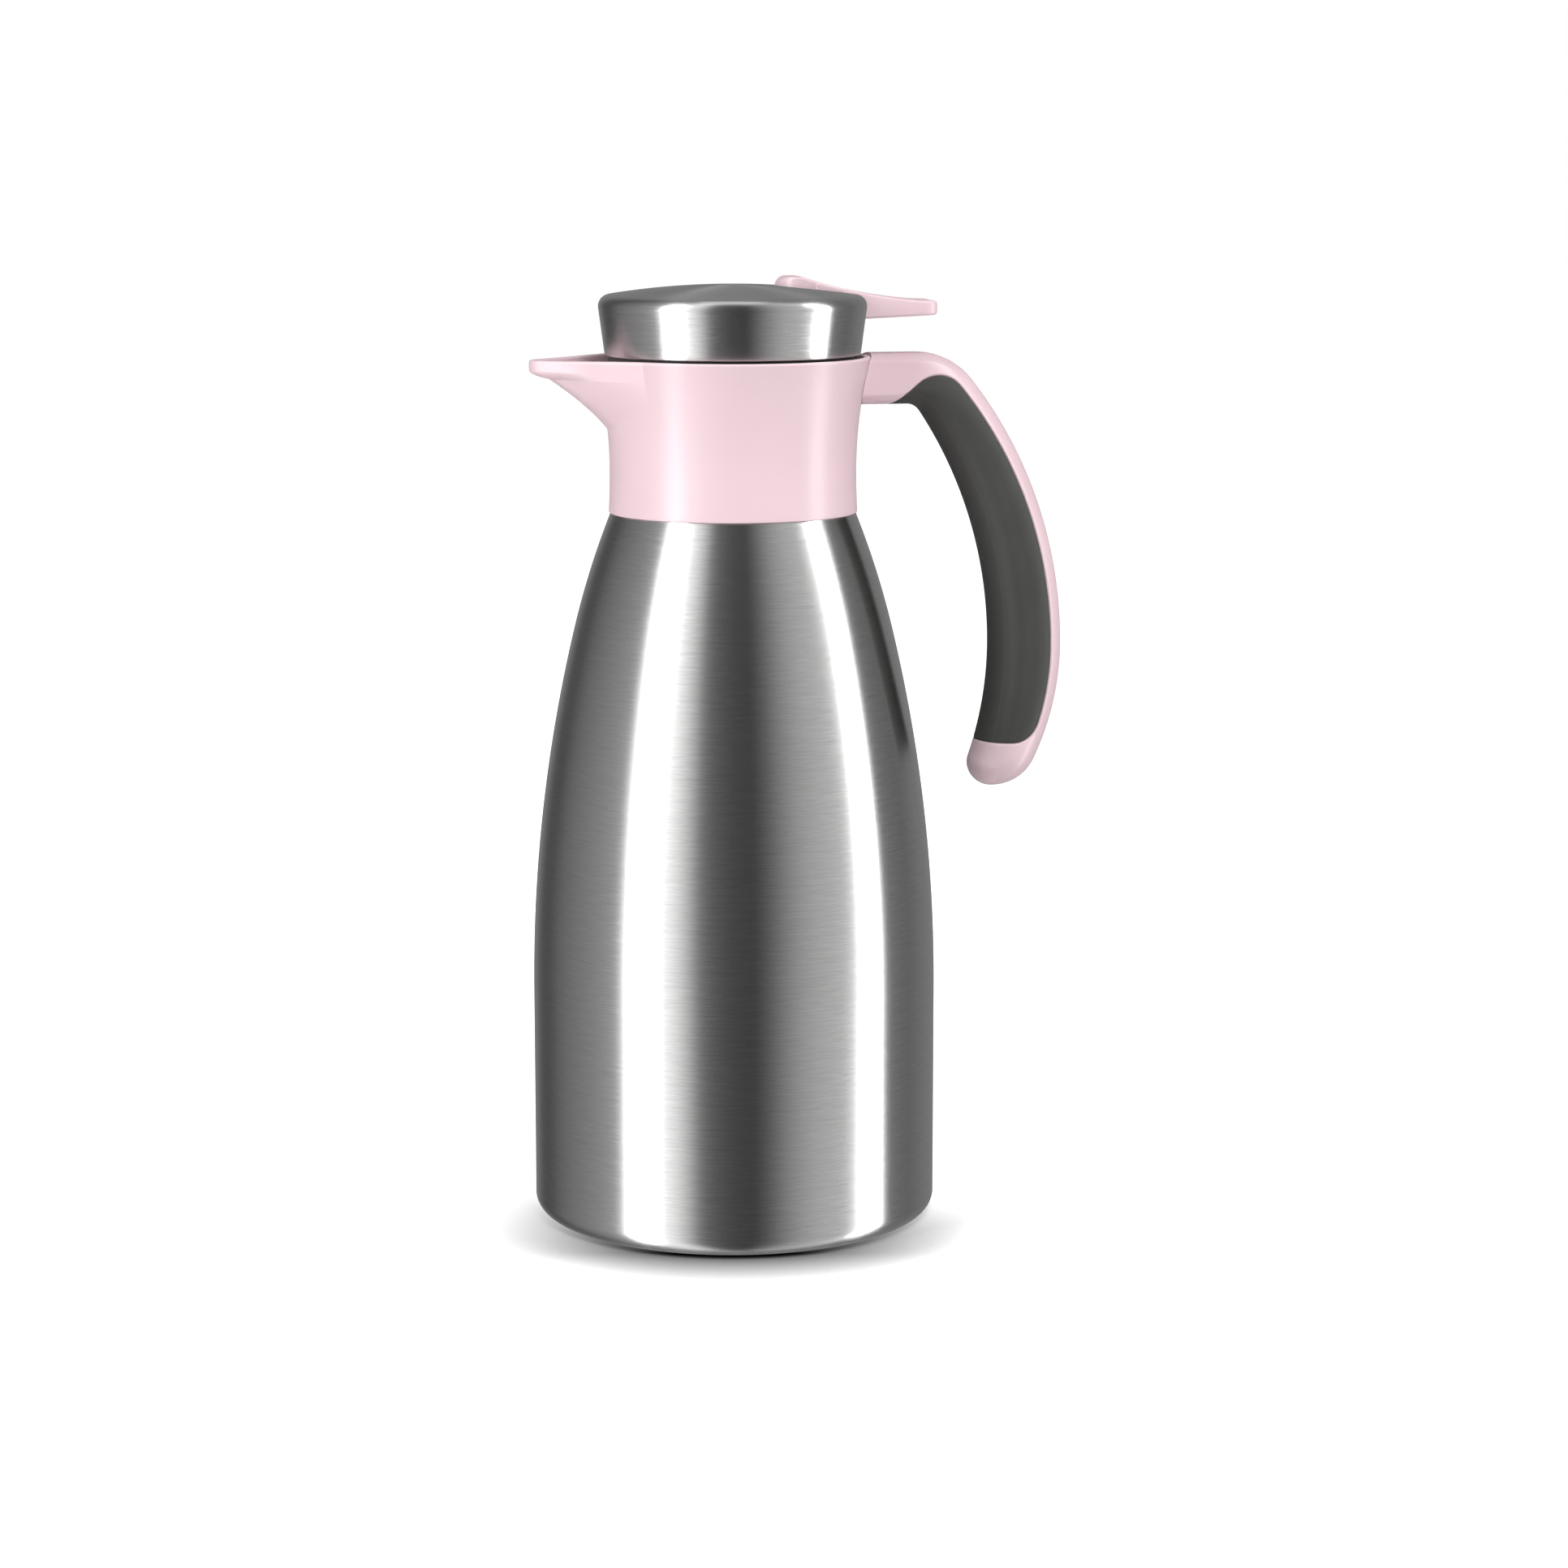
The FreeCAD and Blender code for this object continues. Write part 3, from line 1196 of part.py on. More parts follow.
def make_stopper_seat():
    """Seat of the valve, spigoted into the stopper's foot."""
    spigot = size.stopper_neck_radius - size.stopper_wall - size.weld_gap
    return turned(
        "stopper_seat",
        [
            (size.seat_hole_radius, size.stopper_foot - size.seat_thickness),
            (size.stopper_neck_radius, size.stopper_foot - size.seat_thickness),
            (size.stopper_neck_radius, size.stopper_foot),
            (spigot, size.stopper_foot),
            (spigot, size.stopper_foot + size.seat_spigot),
            (spigot - size.stopper_wall / 2, size.stopper_foot + size.seat_spigot),
            (spigot - size.stopper_wall / 2, size.stopper_foot),
            (size.seat_hole_radius, size.stopper_foot),
        ],
    )


def make_neck_seal():
    """Soft ring between the stopper's shoulder and the rim."""
    inner = size.stopper_neck_radius + size.soft_gap
    foot = size.rim_height + size.rest_gap
    top = foot + size.neck_seal_height
    return turned(
        "neck_seal",
        [(inner, foot), (size.neck_seal_radius, foot), (size.neck_seal_radius, top), (inner, top)],
    )


VALVE_FOOT = size.stopper_foot + size.soft_gap
DISC_FOOT = VALVE_FOOT + size.valve_seal_height
DISC_TOP = DISC_FOOT + size.valve_disc_height
STEM_FOOT = DISC_FOOT + size.valve_disc_height / 2


def make_valve_seal():
    """Soft ring under the valve disc's rim."""
    inner = size.valve_seal_radius - size.valve_seal_width
    return turned(
        "valve_seal",
        [
            (inner, VALVE_FOOT),
            (size.valve_seal_radius, VALVE_FOOT),
            (size.valve_seal_radius, DISC_FOOT),
            (inner, DISC_FOOT),
        ],
    )


def make_valve_disc():
    """Valve disc with a hub that holds the rod's foot."""
    screw = size.valve_screw_radius + size.screw_gap
    socket = size.stem_radius + size.stem_play
    hub_top = DISC_TOP + size.valve_hub_height
    return turned(
        "valve_disc",
        [
            (screw, DISC_FOOT),
            (size.valve_disc_radius, DISC_FOOT),
            (size.valve_disc_radius, DISC_TOP),
            (size.valve_hub_radius, DISC_TOP),
            (size.valve_hub_radius, hub_top),
            (socket, hub_top),
            (socket, STEM_FOOT),
            (screw, STEM_FOOT),
        ],
    )


def make_valve_screw():
    """Screw that clamps the disc to the rod."""
    head_foot = DISC_FOOT - size.valve_seal_height
    end = DISC_FOOT + size.valve_screw_length
    return turned(
        "valve_screw",
        [
            (ZERO, head_foot),
            (size.valve_screw_head, head_foot),
            (size.valve_screw_head, DISC_FOOT),
            (size.valve_screw_radius, DISC_FOOT),
            (size.valve_screw_radius, end),
            (ZERO, end),
        ],
    )


HEAD_FOOT = size.fork_height + size.fork_round + size.fork_play


def make_valve_stem():
    """Valve rod with a head above the lever's fork."""
    screw = size.valve_screw_radius + size.screw_gap
    hole_end = DISC_FOOT + size.valve_screw_length + size.screw_tail
    top = HEAD_FOOT + size.stem_head_height
    return turned(
        "valve_stem",
        [
            (screw, STEM_FOOT),
            (size.stem_radius, STEM_FOOT),
            (size.stem_radius, HEAD_FOOT),
            (size.stem_head_radius, HEAD_FOOT),
            (size.stem_head_radius, top),
            (ZERO, top),
            (ZERO, hole_end),
            (screw, hole_end),
        ],
    )


def tangent_arc(start, direction, end):
    """Arc from start, leaving along direction, to end."""
    chord = end - start
    along = FreeCAD.Vector(chord).normalize()
    aside = (direction - along * direction.dot(along)).normalize()
    half_turn = direction.getAngle(chord)
    middle = start + chord * 0.5 + aside * (chord.Length / 2 * math.tan(half_turn / 2))
    return Part.Arc(start, middle, end)


def coil_path(radius, foot, rise, turns):
    """Coil as pairs of arcs, a quarter turn each, that keep the helix's direction where they meet."""
    count = int(round(turns * 4))
    slope = rise / (turns * 2 * math.pi)
    places = []
    for number in range(count + 1):
        angle = number * turns * 2 * math.pi / count
        place = FreeCAD.Vector(radius * math.cos(angle), radius * math.sin(angle), foot + slope * angle)
        heading = FreeCAD.Vector(-radius * math.sin(angle), radius * math.cos(angle), slope).normalize()
        places.append((place, heading))
    edges = []
    for (start, leaving), (end, arriving) in zip(places, places[1:]):
        chord = end - start
        lean = chord.dot(leaving + arriving)
        bend = 2 * (1 - leaving.dot(arriving))
        reach = (math.sqrt(lean * lean + bend * chord.dot(chord)) - lean) / bend
        joint = (start + leaving * reach + end - arriving * reach) * 0.5
        edges.append(tangent_arc(start, leaving, joint).toShape())
        edges.append(tangent_arc(end, -arriving, joint).toShape())
    return Part.Wire(Part.sortEdges(edges)[0])


def make_valve_spring():
    """Coil spring between the valve disc and the rod's guide."""
    foot = DISC_TOP + size.weld_gap + size.spring_wire
    rise = size.guide_foot - size.weld_gap - size.spring_wire - foot
    path = coil_path(size.spring_radius.number, foot.number, rise.number, size.spring_turns.number)
    first = path.OrderedEdges[0]
    start = path.OrderedVertexes[0].Point
    heading = first.tangentAt(first.FirstParameter)
    section = Part.Wire(Part.makeCircle(size.spring_wire.number, start, heading))
    spring = doc.addObject("Part::Feature", "valve_spring")
    spring.Shape = path.makePipeShell([section], True, False)
    return spring


def make_stem_seal():
    """Soft ring round the rod, in the deck."""
    inner = size.stem_radius + 4 * size.stem_play
    foot = DECK_TOP - size.stem_seal_height
    return turned(
        "stem_seal",
        [(inner, foot), (size.stem_seal_radius, foot), (size.stem_seal_radius, DECK_TOP), (inner, DECK_TOP)],
    )


LID_SLOPE = (size.lid_shoulder_radius - size.lid_radius) / (size.lid_shoulder - size.lid_foot)


def cap_inside(height):
    """Inside radius of the cap's side at a height."""
    return size.lid_radius - size.cap_wall + LID_SLOPE * (height - size.lid_foot)


def lever_plan(grow, end):
    """The lever's plan outline, grown by grow: a half-round nose and straight sides to end."""
    half = size.lever_half_width + grow
    nose_centre = size.lever_nose_reach + size.lever_half_width
    return [
        (nose_centre, half, half),
        (nose_centre - half, ZERO, half),
        (nose_centre, -half),
        (end, -half),
        (end, half),
    ]


def make_lid_cap():
    """Steel cap with a low dome and the lever's slot, open at the handle's side."""
    body = new_body("lid_cap")
    wall = size.cap_wall
    dome = sagitta_radius(size.lid_shoulder_radius, size.lid_top - size.lid_shoulder)
    inner_shoulder = size.lid_shoulder - wall
    inner_dome = sagitta_radius(cap_inside(inner_shoulder), size.lid_top - size.lid_shoulder)
    feature = add_revolution(
        body,
        [
            (size.lid_radius, size.lid_foot),
            (size.lid_shoulder_radius, size.lid_shoulder, dome),
            (ZERO, size.lid_top),
            (ZERO, size.lid_top - wall, -inner_dome),
            (cap_inside(inner_shoulder), inner_shoulder),
            (size.lid_radius - wall, size.lid_foot),
        ],
    )

    def ring_at(height):
        return lambda edge: all(abs(vertex.Point.z - height.number) < 0.01 for vertex in edge.Vertexes)

    feature = add_fillet(body, feature, size.lid_edge, ring_at(size.lid_shoulder))
    add_fillet(body, feature, size.lid_edge - wall, ring_at(inner_shoulder))
    add_plan_pad(
        body,
        size.notch_foot,
        size.lid_top - size.notch_foot + size.cut_margin,
        corners=lever_plan(size.slot_gap, size.lid_shoulder_radius + size.cut_margin),
        kind="PartDesign::Pocket",
    )
    return body


def make_lid_liner():
    """Frame inside the cap: floor, ring, and the walls of the lever's bay with the pin's holes."""
    body = new_body("liner_moulding")
    top = DECK_TOP + size.liner_thickness
    ring_foot = cap_inside(top) - size.soft_gap
    ring_top = cap_inside(size.liner_ring_top) - size.soft_gap
    add_revolution(
        body,
        [
            (size.liner_hole, DECK_TOP),
            (size.deck_radius, DECK_TOP),
            (ring_foot, top),
            (ring_top, size.liner_ring_top),
            (ring_top - size.liner_ring, size.liner_ring_top),
            (ring_foot - size.liner_ring, top),
            (size.liner_hole, top),
        ],
    )
    bay = size.lever_half_width + size.bay_gap
    clear = ring_top + size.cut_margin
    add_plan_pad(
        body,
        size.notch_foot,
        size.lid_top - size.notch_foot,
        corners=[(size.bay_end, -bay), (clear, -bay), (clear, bay), (size.bay_end, bay)],
        kind="PartDesign::Pocket",
    )
    for side in (1, -1):
        near = side * bay
        far = side * (bay + size.bay_wall)
        start = size.bay_start
        end = size.bay_end
        add_plan_pad(
            body,
            top - size.liner_thickness / 2,
            size.bay_top - top + size.liner_thickness / 2,
            corners=[(start, near), (end, near), (end, far), (start, far)],
        )
    hole = size.liner_screw_radius + 2 * size.screw_gap
    places = third_places(size.liner_screw_circle)
    add_plan_pad(body, DECK_TOP, size.liner_thickness, circles=(places, hole), kind="PartDesign::Pocket")
    reach = bay + size.bay_wall + size.cut_margin
    pin_hole = cylinder_across("liner_pin_hole", size.pin_radius + size.pin_play / 2, reach)
    return join("Part::Cut", "lid_liner", body, pin_hole)


def cylinder_across(name, radius, half_length):
    """A cylinder on the lever's pivot, half_length to each side."""
    return cylinder(
        name, radius, 2 * half_length, x=size.pivot_reach, y=-half_length, z=size.pivot_height, along="Y"
    )


def make_liner_screws():
    """Three screws through the cap's floor into the stopper's deck."""
    screws = []
    top = DECK_TOP + size.liner_thickness
    for number, (x, y) in enumerate(third_places(size.liner_screw_circle)):
        name = "liner_screw_%d" % number
        head = cylinder(name + "_head", size.liner_screw_head, size.liner_screw_head_height, x=x, y=y, z=top)
        foot = top - size.liner_screw_length
        shank = cylinder(name + "_shank", size.liner_screw_radius, size.liner_screw_length, x=x, y=y, z=foot)
        screws.append(join("Part::MultiFuse", name, head, shank))
    return join("Part::Compound", "liner_screws", *screws)


def make_lever_pin():
    """Hinge pin of the lever, held in the walls of its bay."""
    half_length = size.lever_half_width + size.bay_gap + size.bay_wall
    return cylinder_across("lever_pin", size.pin_radius, half_length)


def make_thumb_lever():
    """Lever: nose and thumb pad outside, a fork inside that lifts the rod's head."""
    side = new_body("lever_side")
    round_end = size.lever_end_round
    feature = add_side_pad(
        side,
        [
            (size.lever_nose_reach, size.lever_underside),
            (size.lever_nose_reach, size.lever_crest - size.lever_nose_round, -size.lever_nose_round),
            (size.lever_nose_reach + size.lever_nose_round, size.lever_crest),
            (size.lever_crest_end, size.lever_crest),
            (size.lever_dip_start, size.lever_dip_height, size.lever_dip_radius),
            (size.lever_pad_start, size.lever_pad_height),
            (size.lever_reach - round_end, size.lever_end_height, -round_end),
            (size.lever_reach, size.lever_end_height - round_end),
            (size.lever_reach, size.lever_end_foot + round_end / 2, -(round_end / 2)),
            (size.lever_reach - round_end / 2, size.lever_end_foot),
            (size.lid_shoulder_radius, size.lever_underside),
        ],
        2 * size.lever_half_width,
    )
    upper = size.pivot_height.number
    nose_end = size.lever_nose_reach.number + size.lever_half_width.number / 2

    def top_edge(edge):
        points = [vertex.Point for vertex in edge.Vertexes]
        level = abs(points[0].y - points[-1].y) < 0.01
        return level and all(point.z > upper and point.x > nose_end for point in points)

    add_fillet(side, feature, size.lever_edge, top_edge)
    plan = new_body("lever_plan")
    foot = size.lever_underside - size.cut_margin
    height = size.lever_crest + size.cut_margin - foot
    feature = add_plan_pad(plan, foot, height, corners=lever_plan(ZERO, size.lever_reach))

    def end_corner(edge):
        points = [vertex.Point for vertex in edge.Vertexes]
        return all(
            abs(point.x - size.lever_reach.number) < 0.01
            and abs(abs(point.y) - size.lever_half_width.number) < 0.01
            for point in points
        ) and abs(points[0].y - points[-1].y) < 0.01

    add_fillet(plan, feature, size.lever_corner, end_corner)
    paddle = join("Part::MultiCommon", "lever_paddle", side, plan)

    fork = new_body("lever_fork")
    root_x = size.pivot_reach
    add_side_pad(
        fork,
        [
            (ZERO, size.fork_height - size.fork_round),
            (root_x, size.pivot_height - size.fork_root),
            (root_x, size.pivot_height + size.fork_root),
            (size.stem_head_radius + size.fork_knee, size.fork_height + size.fork_round),
            (ZERO, size.fork_height + size.fork_round, size.fork_round),
            (-size.fork_round, size.fork_height, size.fork_round),
        ],
        2 * size.fork_half_width,
    )
    add_plan_pad(
        fork,
        size.fork_height - 2 * size.fork_round,
        4 * size.fork_round,
        corners=[
            (-size.fork_round - size.cut_margin, -size.fork_slot),
            (size.fork_slot_end, -size.fork_slot),
            (size.fork_slot_end, size.fork_slot),
            (-size.fork_round - size.cut_margin, size.fork_slot),
        ],
        kind="PartDesign::Pocket",
    )
    whole = join("Part::MultiFuse", "lever_whole", paddle, fork)
    reach = size.lever_half_width + size.cut_margin
    pin_hole = cylinder_across("lever_pin_hole", size.pin_radius + size.pin_play, reach)
    return join("Part::Cut", "thumb_lever", whole, pin_hole)


def check_document():
    """Stop on any object that failed or has no sound shape."""
    doc.recompute()
    for item in doc.Objects:
        if "Invalid" in item.State or "Error" in item.State:
            raise RuntimeError("%s failed: %s" % (item.Name, item.State))


def export(nodes):
    """Write each piece to its own file, once all of them are sound."""
    for name, item in nodes.items():
        if item.Shape.isNull() or not item.Shape.isValid() or not item.Shape.Solids:
            raise RuntimeError("%s has no sound shape" % name)
        item.Label = name
    os.makedirs("parts", exist_ok=True)
    for name, item in nodes.items():
        item.Shape.exportStep(os.path.join("parts", name + ".step"))
        print("%s: %d solid(s), %.0f cubic mm" % (name, len(item.Shape.Solids), item.Shape.Volume))


def build():
    """Make every piece and give them by name."""
    envelope = turned("collar_envelope", collar_outside(ZERO, size.collar_top + size.weld_gap))
    handle_frame, soft_grip = make_handle()
    return {
        "outer_shell": make_outer_shell(),
        "inner_liner": make_inner_liner(),
        "shell_bottom": make_shell_bottom(),
        "vacuum_seal": make_vacuum_seal(),
        "getter": make_getter(),
        "base_plate": make_base_plate(),
        "neck_gasket": make_neck_gasket(),
        "neck_sleeve": make_neck_sleeve(),
        "collar": make_collar(envelope),
        "handle_frame": handle_frame,
        "soft_grip": soft_grip,
        "handle_screws": make_handle_screws(),
        "stopper_body": make_stopper_body(),
        "stopper_seat": make_stopper_seat(),
        "neck_seal": make_neck_seal(),
        "valve_seal": make_valve_seal(),
        "valve_disc": make_valve_disc(),
        "valve_screw": make_valve_screw(),
        "valve_stem": make_valve_stem(),
        "valve_spring": make_valve_spring(),
        "stem_seal": make_stem_seal(),
        "lid_cap": make_lid_cap(),
        "lid_liner": make_lid_liner(),
        "liner_screws": make_liner_screws(),
        "lever_pin": make_lever_pin(),
        "thumb_lever": make_thumb_lever(),
    }


pieces = build()
check_document()
export(pieces)
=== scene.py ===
import math
import bmesh
import bpy
import numpy as np
from bpy.props import FloatProperty, FloatVectorProperty, IntProperty, PointerProperty
from bpy.types import Operator, Panel, PropertyGroup
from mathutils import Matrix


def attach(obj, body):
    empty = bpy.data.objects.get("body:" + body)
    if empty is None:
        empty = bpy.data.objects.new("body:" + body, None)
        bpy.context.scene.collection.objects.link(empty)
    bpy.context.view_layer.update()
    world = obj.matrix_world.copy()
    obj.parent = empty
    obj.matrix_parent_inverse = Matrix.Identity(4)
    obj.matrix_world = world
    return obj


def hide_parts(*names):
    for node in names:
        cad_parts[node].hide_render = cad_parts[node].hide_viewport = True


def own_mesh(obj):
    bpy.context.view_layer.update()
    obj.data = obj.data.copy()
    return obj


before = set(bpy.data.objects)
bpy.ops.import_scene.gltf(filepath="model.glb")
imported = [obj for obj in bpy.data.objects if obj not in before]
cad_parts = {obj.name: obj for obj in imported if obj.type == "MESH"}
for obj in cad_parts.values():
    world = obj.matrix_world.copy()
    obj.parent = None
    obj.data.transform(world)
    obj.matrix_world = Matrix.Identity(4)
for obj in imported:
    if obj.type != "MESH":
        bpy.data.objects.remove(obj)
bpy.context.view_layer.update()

bl_info = {
    "name": "Thermal carafe",
    "version": (1, 0, 0),
    "blender": (4, 5, 0),
    "location": "View3D > Sidebar > Carafe",
    "description": "Builds the visible pieces and finishes of a thermal carafe on its packed frame",
    "category": "Object",
}

# Shapes are worked out in mm; the settings and the meshes are in metres.
MM = 0.001
MERGE = 2e-7
SLIVER = 1e-7

# Steel body.
BASE_HOLE = 44.0
BASE_EDGE = 5.0
SIDE_TOP = 63.0
TAPER_RADIUS = 430.0
TAPER_RISE = 102.0
SHOULDER_RADIUS = 230.0
NECK_RADIUS = 28.0
NECK_TOP = 214.2

# Steel cap, with the lever's slot.
CAP_RADIUS = 35.0
CAP_FOOT = 239.3
CAP_HEM = 0.45
CAP_LEAN = math.atan2(2.15, 16.1)
CAP_TOP = 258.4
DOME_RADIUS = 215.0
NOTCH_FOOT = 243.5
SLOT_NOSE = 19.8
SLOT_HALF = 8.65

# Collar, spout, mouth and screw pad.
COLLAR_FOOT = 196.5
COLLAR_WAIST = 208.0
COLLAR_TOP = 238.9
COLLAR_RISE = 30.9
WAIST_RADIUS = 33.85
TOP_SPREAD = 3.95
FOOT_SPREAD = 0.3
SPOUT_FOOT = 219.5
SPOUT_START = 34.6
SPOUT_ROOT = math.radians(41.0)
LIP_FOOT = 233.3
LIP_START = 50.7
MOUTH_FOOT = 228.5
MOUTH_RADIUS = 33.9
TROUGH_START = 32.75
TROUGH_ROOT = math.radians(38.0)
PAD_DISTANCE = 32.8
PAD_HALF = 8.5
PAD_LOW = 229.0
PAD_HIGH = 235.0

# Handle and grip; points are (distance from the axis, height).
ROOT_GAP = 0.12
ROOT_TOP = 238.8
ARM_LOW = 225.4
ARM_TOP = 239.6
TIP_FOOT = 118.2
PALM_UPPER = (-44.8, 158.0)
PALM_LOWER = (-24.8, 158.0)
SPINE_UPPER = (-26.5, 158.0)
SPINE_LOWER = (17.5, 158.0)
BED_DEPTH, BED_SHIFT = 1.4, 1.7
SKIN_DEPTH, SKIN_SHIFT = 1.0, 1.5
# Mould ridge on the grip, with a painted highlight along it: distance from the finger side and width, in mm.
MOULD_RIDGE_HIGHLIGHT, MOULD_RIDGE_HIGHLIGHT_WIDTH = 2.9, 0.22

# Thumb lever, by distance from the axis.
LEVER_NOSE = 11.6
LEVER_BODY = 19.8
LEVER_BACK = 52.0
LEVER_END = 56.0

# Surface coordinates: a span in mm, and shares per mm.
GRIP_SPAN = 25.0
HEIGHT_MAP = 0.004
LEVER_MAP = 0.02

# Stage: floor and panels in mm, lamps in metres.
FLOOR_HALF = 4000.0
FLOOR_GLOW = 0.88
PANEL_DISTANCE = 2200.0
PANEL_FOOT, PANEL_TOP = -40000.0, 8000.0
LAMP_DISTANCE = 1.5
LAMP_AIM = 0.2
WHITE = (1.0, 1.0, 1.0)


# ---------------------------------------------------------------- settings


class CarafeSizes(PropertyGroup):
    """Sizes of the visible pieces."""

    body_radius: FloatProperty(
        name="Body radius",
        description="Outside radius of the steel body",
        default=0.056,
        unit="LENGTH",
    )
    body_wall: FloatProperty(
        name="Body wall",
        description="Thickness of the outer steel wall",
        default=0.0008,
        unit="LENGTH",
    )
    round_steps: IntProperty(
        name="Steps round the axis",
        description="Faces round each turned piece",
        default=256,
        min=24,
    )
    lid_wall: FloatProperty(
        name="Cap wall", description="Thickness of the steel cap", default=0.0006, unit="LENGTH"
    )
    lid_edge: FloatProperty(
        name="Cap edge", description="Radius of the cap's upper edge", default=0.0032, unit="LENGTH"
    )
    rim_round: FloatProperty(
        name="Rim rounding",
        description="Radius of the collar's upper edges",
        default=0.0006,
        unit="LENGTH",
    )
    spout_reach: FloatProperty(
        name="Spout reach",
        description="Distance of the spout's tip from the axis",
        default=0.0559,
        unit="LENGTH",
    )
    trough_wall: FloatProperty(
        name="Spout wall",
        description="Thickness of the spout at its tip",
        default=0.0034,
        unit="LENGTH",
    )
    handle_width: FloatProperty(
        name="Handle width", description="Width of the handle", default=0.022, unit="LENGTH"
    )
    groove_depth: FloatProperty(
        name="Groove depth",
        description="Depth of the line between grip and frame",
        default=0.00045,
        unit="LENGTH",
    )
    groove_width: FloatProperty(
        name="Groove width",
        description="Width over which an edge rolls into that line",
        default=0.0006,
        unit="LENGTH",
    )
    lever_half_width: FloatProperty(
        name="Lever half width",
        description="Half the width of the thumb lever",
        default=0.0082,
        unit="LENGTH",
    )
    lever_dish: FloatProperty(
        name="Lever dish",
        description="Hollow of the thumb lever's top, across",
        default=0.0005,
        unit="LENGTH",
    )
    spring_wire: FloatProperty(
        name="Spring wire",
        description="Radius of the valve spring's wire",
        default=0.0005,
        unit="LENGTH",
    )


class CarafeColours(PropertyGroup):
    """Colours of the finishes."""

    steel: FloatVectorProperty(
        name="Steel",
        description="Brushed steel",
        default=(0.74, 0.74, 0.735),
        subtype="COLOR",
        min=0, max=1,
    )
    pink: FloatVectorProperty(
        name="Pink",
        description="Satin plastic",
        default=(0.888, 0.668, 0.719),
        subtype="COLOR",
        min=0, max=1,
    )
    grip: FloatVectorProperty(
        name="Grip",
        description="Soft grip",
        default=(0.06, 0.061, 0.058),
        subtype="COLOR",
        min=0, max=1,
    )
    inside: FloatVectorProperty(
        name="Inside",
        description="Plastic of the closure",
        default=(0.045, 0.045, 0.047),
        subtype="COLOR",
        min=0, max=1,
    )
    seal: FloatVectorProperty(
        name="Seals",
        description="Silicone rings",
        default=(0.62, 0.62, 0.6),
        subtype="COLOR",
        min=0, max=1,
    )


class CarafeStudio(PropertyGroup):
    """Place of the camera and level of the light."""

    distance: FloatProperty(
        name="Distance",
        description="Camera's level distance from the axis",
        default=1.075,
        unit="LENGTH",
    )
    height: FloatProperty(
        name="Height", description="Camera's height", default=0.3022, unit="LENGTH"
    )
    aside: FloatProperty(
        name="Aside", description="Camera's place to the right", default=0.014, unit="LENGTH"
    )
    turn: FloatProperty(
        name="Turn",
        description="Camera's direction round the axis",
        default=math.radians(-10),
        subtype="ANGLE",
    )
    tilt: FloatProperty(
        name="Tilt",
        description="How far the camera looks down",
        default=math.radians(9.6),
        subtype="ANGLE",
    )
    room: FloatProperty(
        name="Room light", description="Level of the light all round", default=0.25, min=0
    )
    left: FloatProperty(
        name="Left lamp", description="Power of the soft box at the left", default=29.0, min=0
    )
    right: FloatProperty(
        name="Right lamp", description="Power of the soft box at the right", default=17.0, min=0
    )
    top: FloatProperty(
        name="Top lamp", description="Power of the soft box overhead", default=12.0, min=0
    )


class CarafeSettings(PropertyGroup):
    """All settings of the carafe."""

    sizes: PointerProperty(type=CarafeSizes)
    colours: PointerProperty(type=CarafeColours)
    studio: PointerProperty(type=CarafeStudio)


# ---------------------------------------------------------------- lines in two dimensions


def arc(centre, radius, start, end, count):
    """Points on a circle from one angle to another, in degrees, both ends kept."""
    angle = np.radians(np.linspace(start, end, count))
    return np.stack([centre[0] + radius * np.cos(angle), centre[1] + radius * np.sin(angle)], -1)


def run(start, end, count):
    """Points on a straight line, both ends kept."""
    return np.linspace(np.asarray(start, float), np.asarray(end, float), count)


def chain(*parts):
    """Lines of points joined end to end, with each shared end kept once."""
    return np.concatenate([parts[0]] + [part[1:] for part in parts[1:]])


def running_length(line):
    """Length along a line of points up to each of them."""
    steps = np.linalg.norm(np.diff(line, axis=0), axis=1)
    return np.concatenate([[0.0], np.cumsum(steps)])


def shares_of(line):
    """Share of a line's length at each of its points."""
    length = running_length(line)
    return length / length[-1]


def along(points, shares):
    """Points at shares of the length of a line of points."""
    length = running_length(points)
    reach = np.asarray(shares) * length[-1]
    return np.stack([np.interp(reach, length, points[:, axis]) for axis in (0, 1)], -1)


def smooth(share):
    """Ease from 0 to 1: 3 s^2 - 2 s^3, level at both ends."""
    share = np.clip(share, 0.0, 1.0)
    return share * share * (3.0 - 2.0 * share)


def eased(count):
    """Shares from 0 to 1 by half a cosine wave, close together at both ends."""
    return (1.0 - np.cos(np.linspace(0.0, np.pi, count))) / 2.0


def soft_ends(count, strength=0.9):
    """Shares from 0 to 1, evenly spaced less part of a sine wave, so that they crowd at the ends."""
    share = np.linspace(0.0, 1.0, count)
    return share - strength * np.sin(2.0 * np.pi * share) / (2.0 * np.pi)


def gap_to(points, outline):
    """Shortest distance from points to an outline's segments, and the length along it of that place."""
    start = outline[:-1]
    step = outline[1:] - start
    size = np.linalg.norm(step, axis=1)
    flat = points.reshape(-1, 1, 2)
    share = np.clip(((flat - start) * step).sum(-1) / (size * size), 0.0, 1.0)
    gap = np.linalg.norm(flat - start - share[..., None] * step, axis=-1)
    nearest = gap.argmin(axis=1)
    row = np.arange(len(nearest))
    place = running_length(outline)[nearest] + share[row, nearest] * size[nearest]
    return gap[row, nearest].reshape(points.shape[:-1]), place.reshape(points.shape[:-1])


def patch(first, last, left, right):
    """Surface between four lines.

    The two ruled surfaces between opposite lines, added, less the one through the corners.
    """
    u = (shares_of(first) + shares_of(last))[None, :, None] / 2.0
    v = (shares_of(left) + shares_of(right))[:, None, None] / 2.0
    across = (1.0 - v) * first[None] + v * last[None]
    down = (1.0 - u) * left[:, None] + u * right[:, None]
    near, far = (1.0 - u) * first[0] + u * first[-1], (1.0 - u) * last[0] + u * last[-1]
    return across + down - ((1.0 - v) * near + v * far)


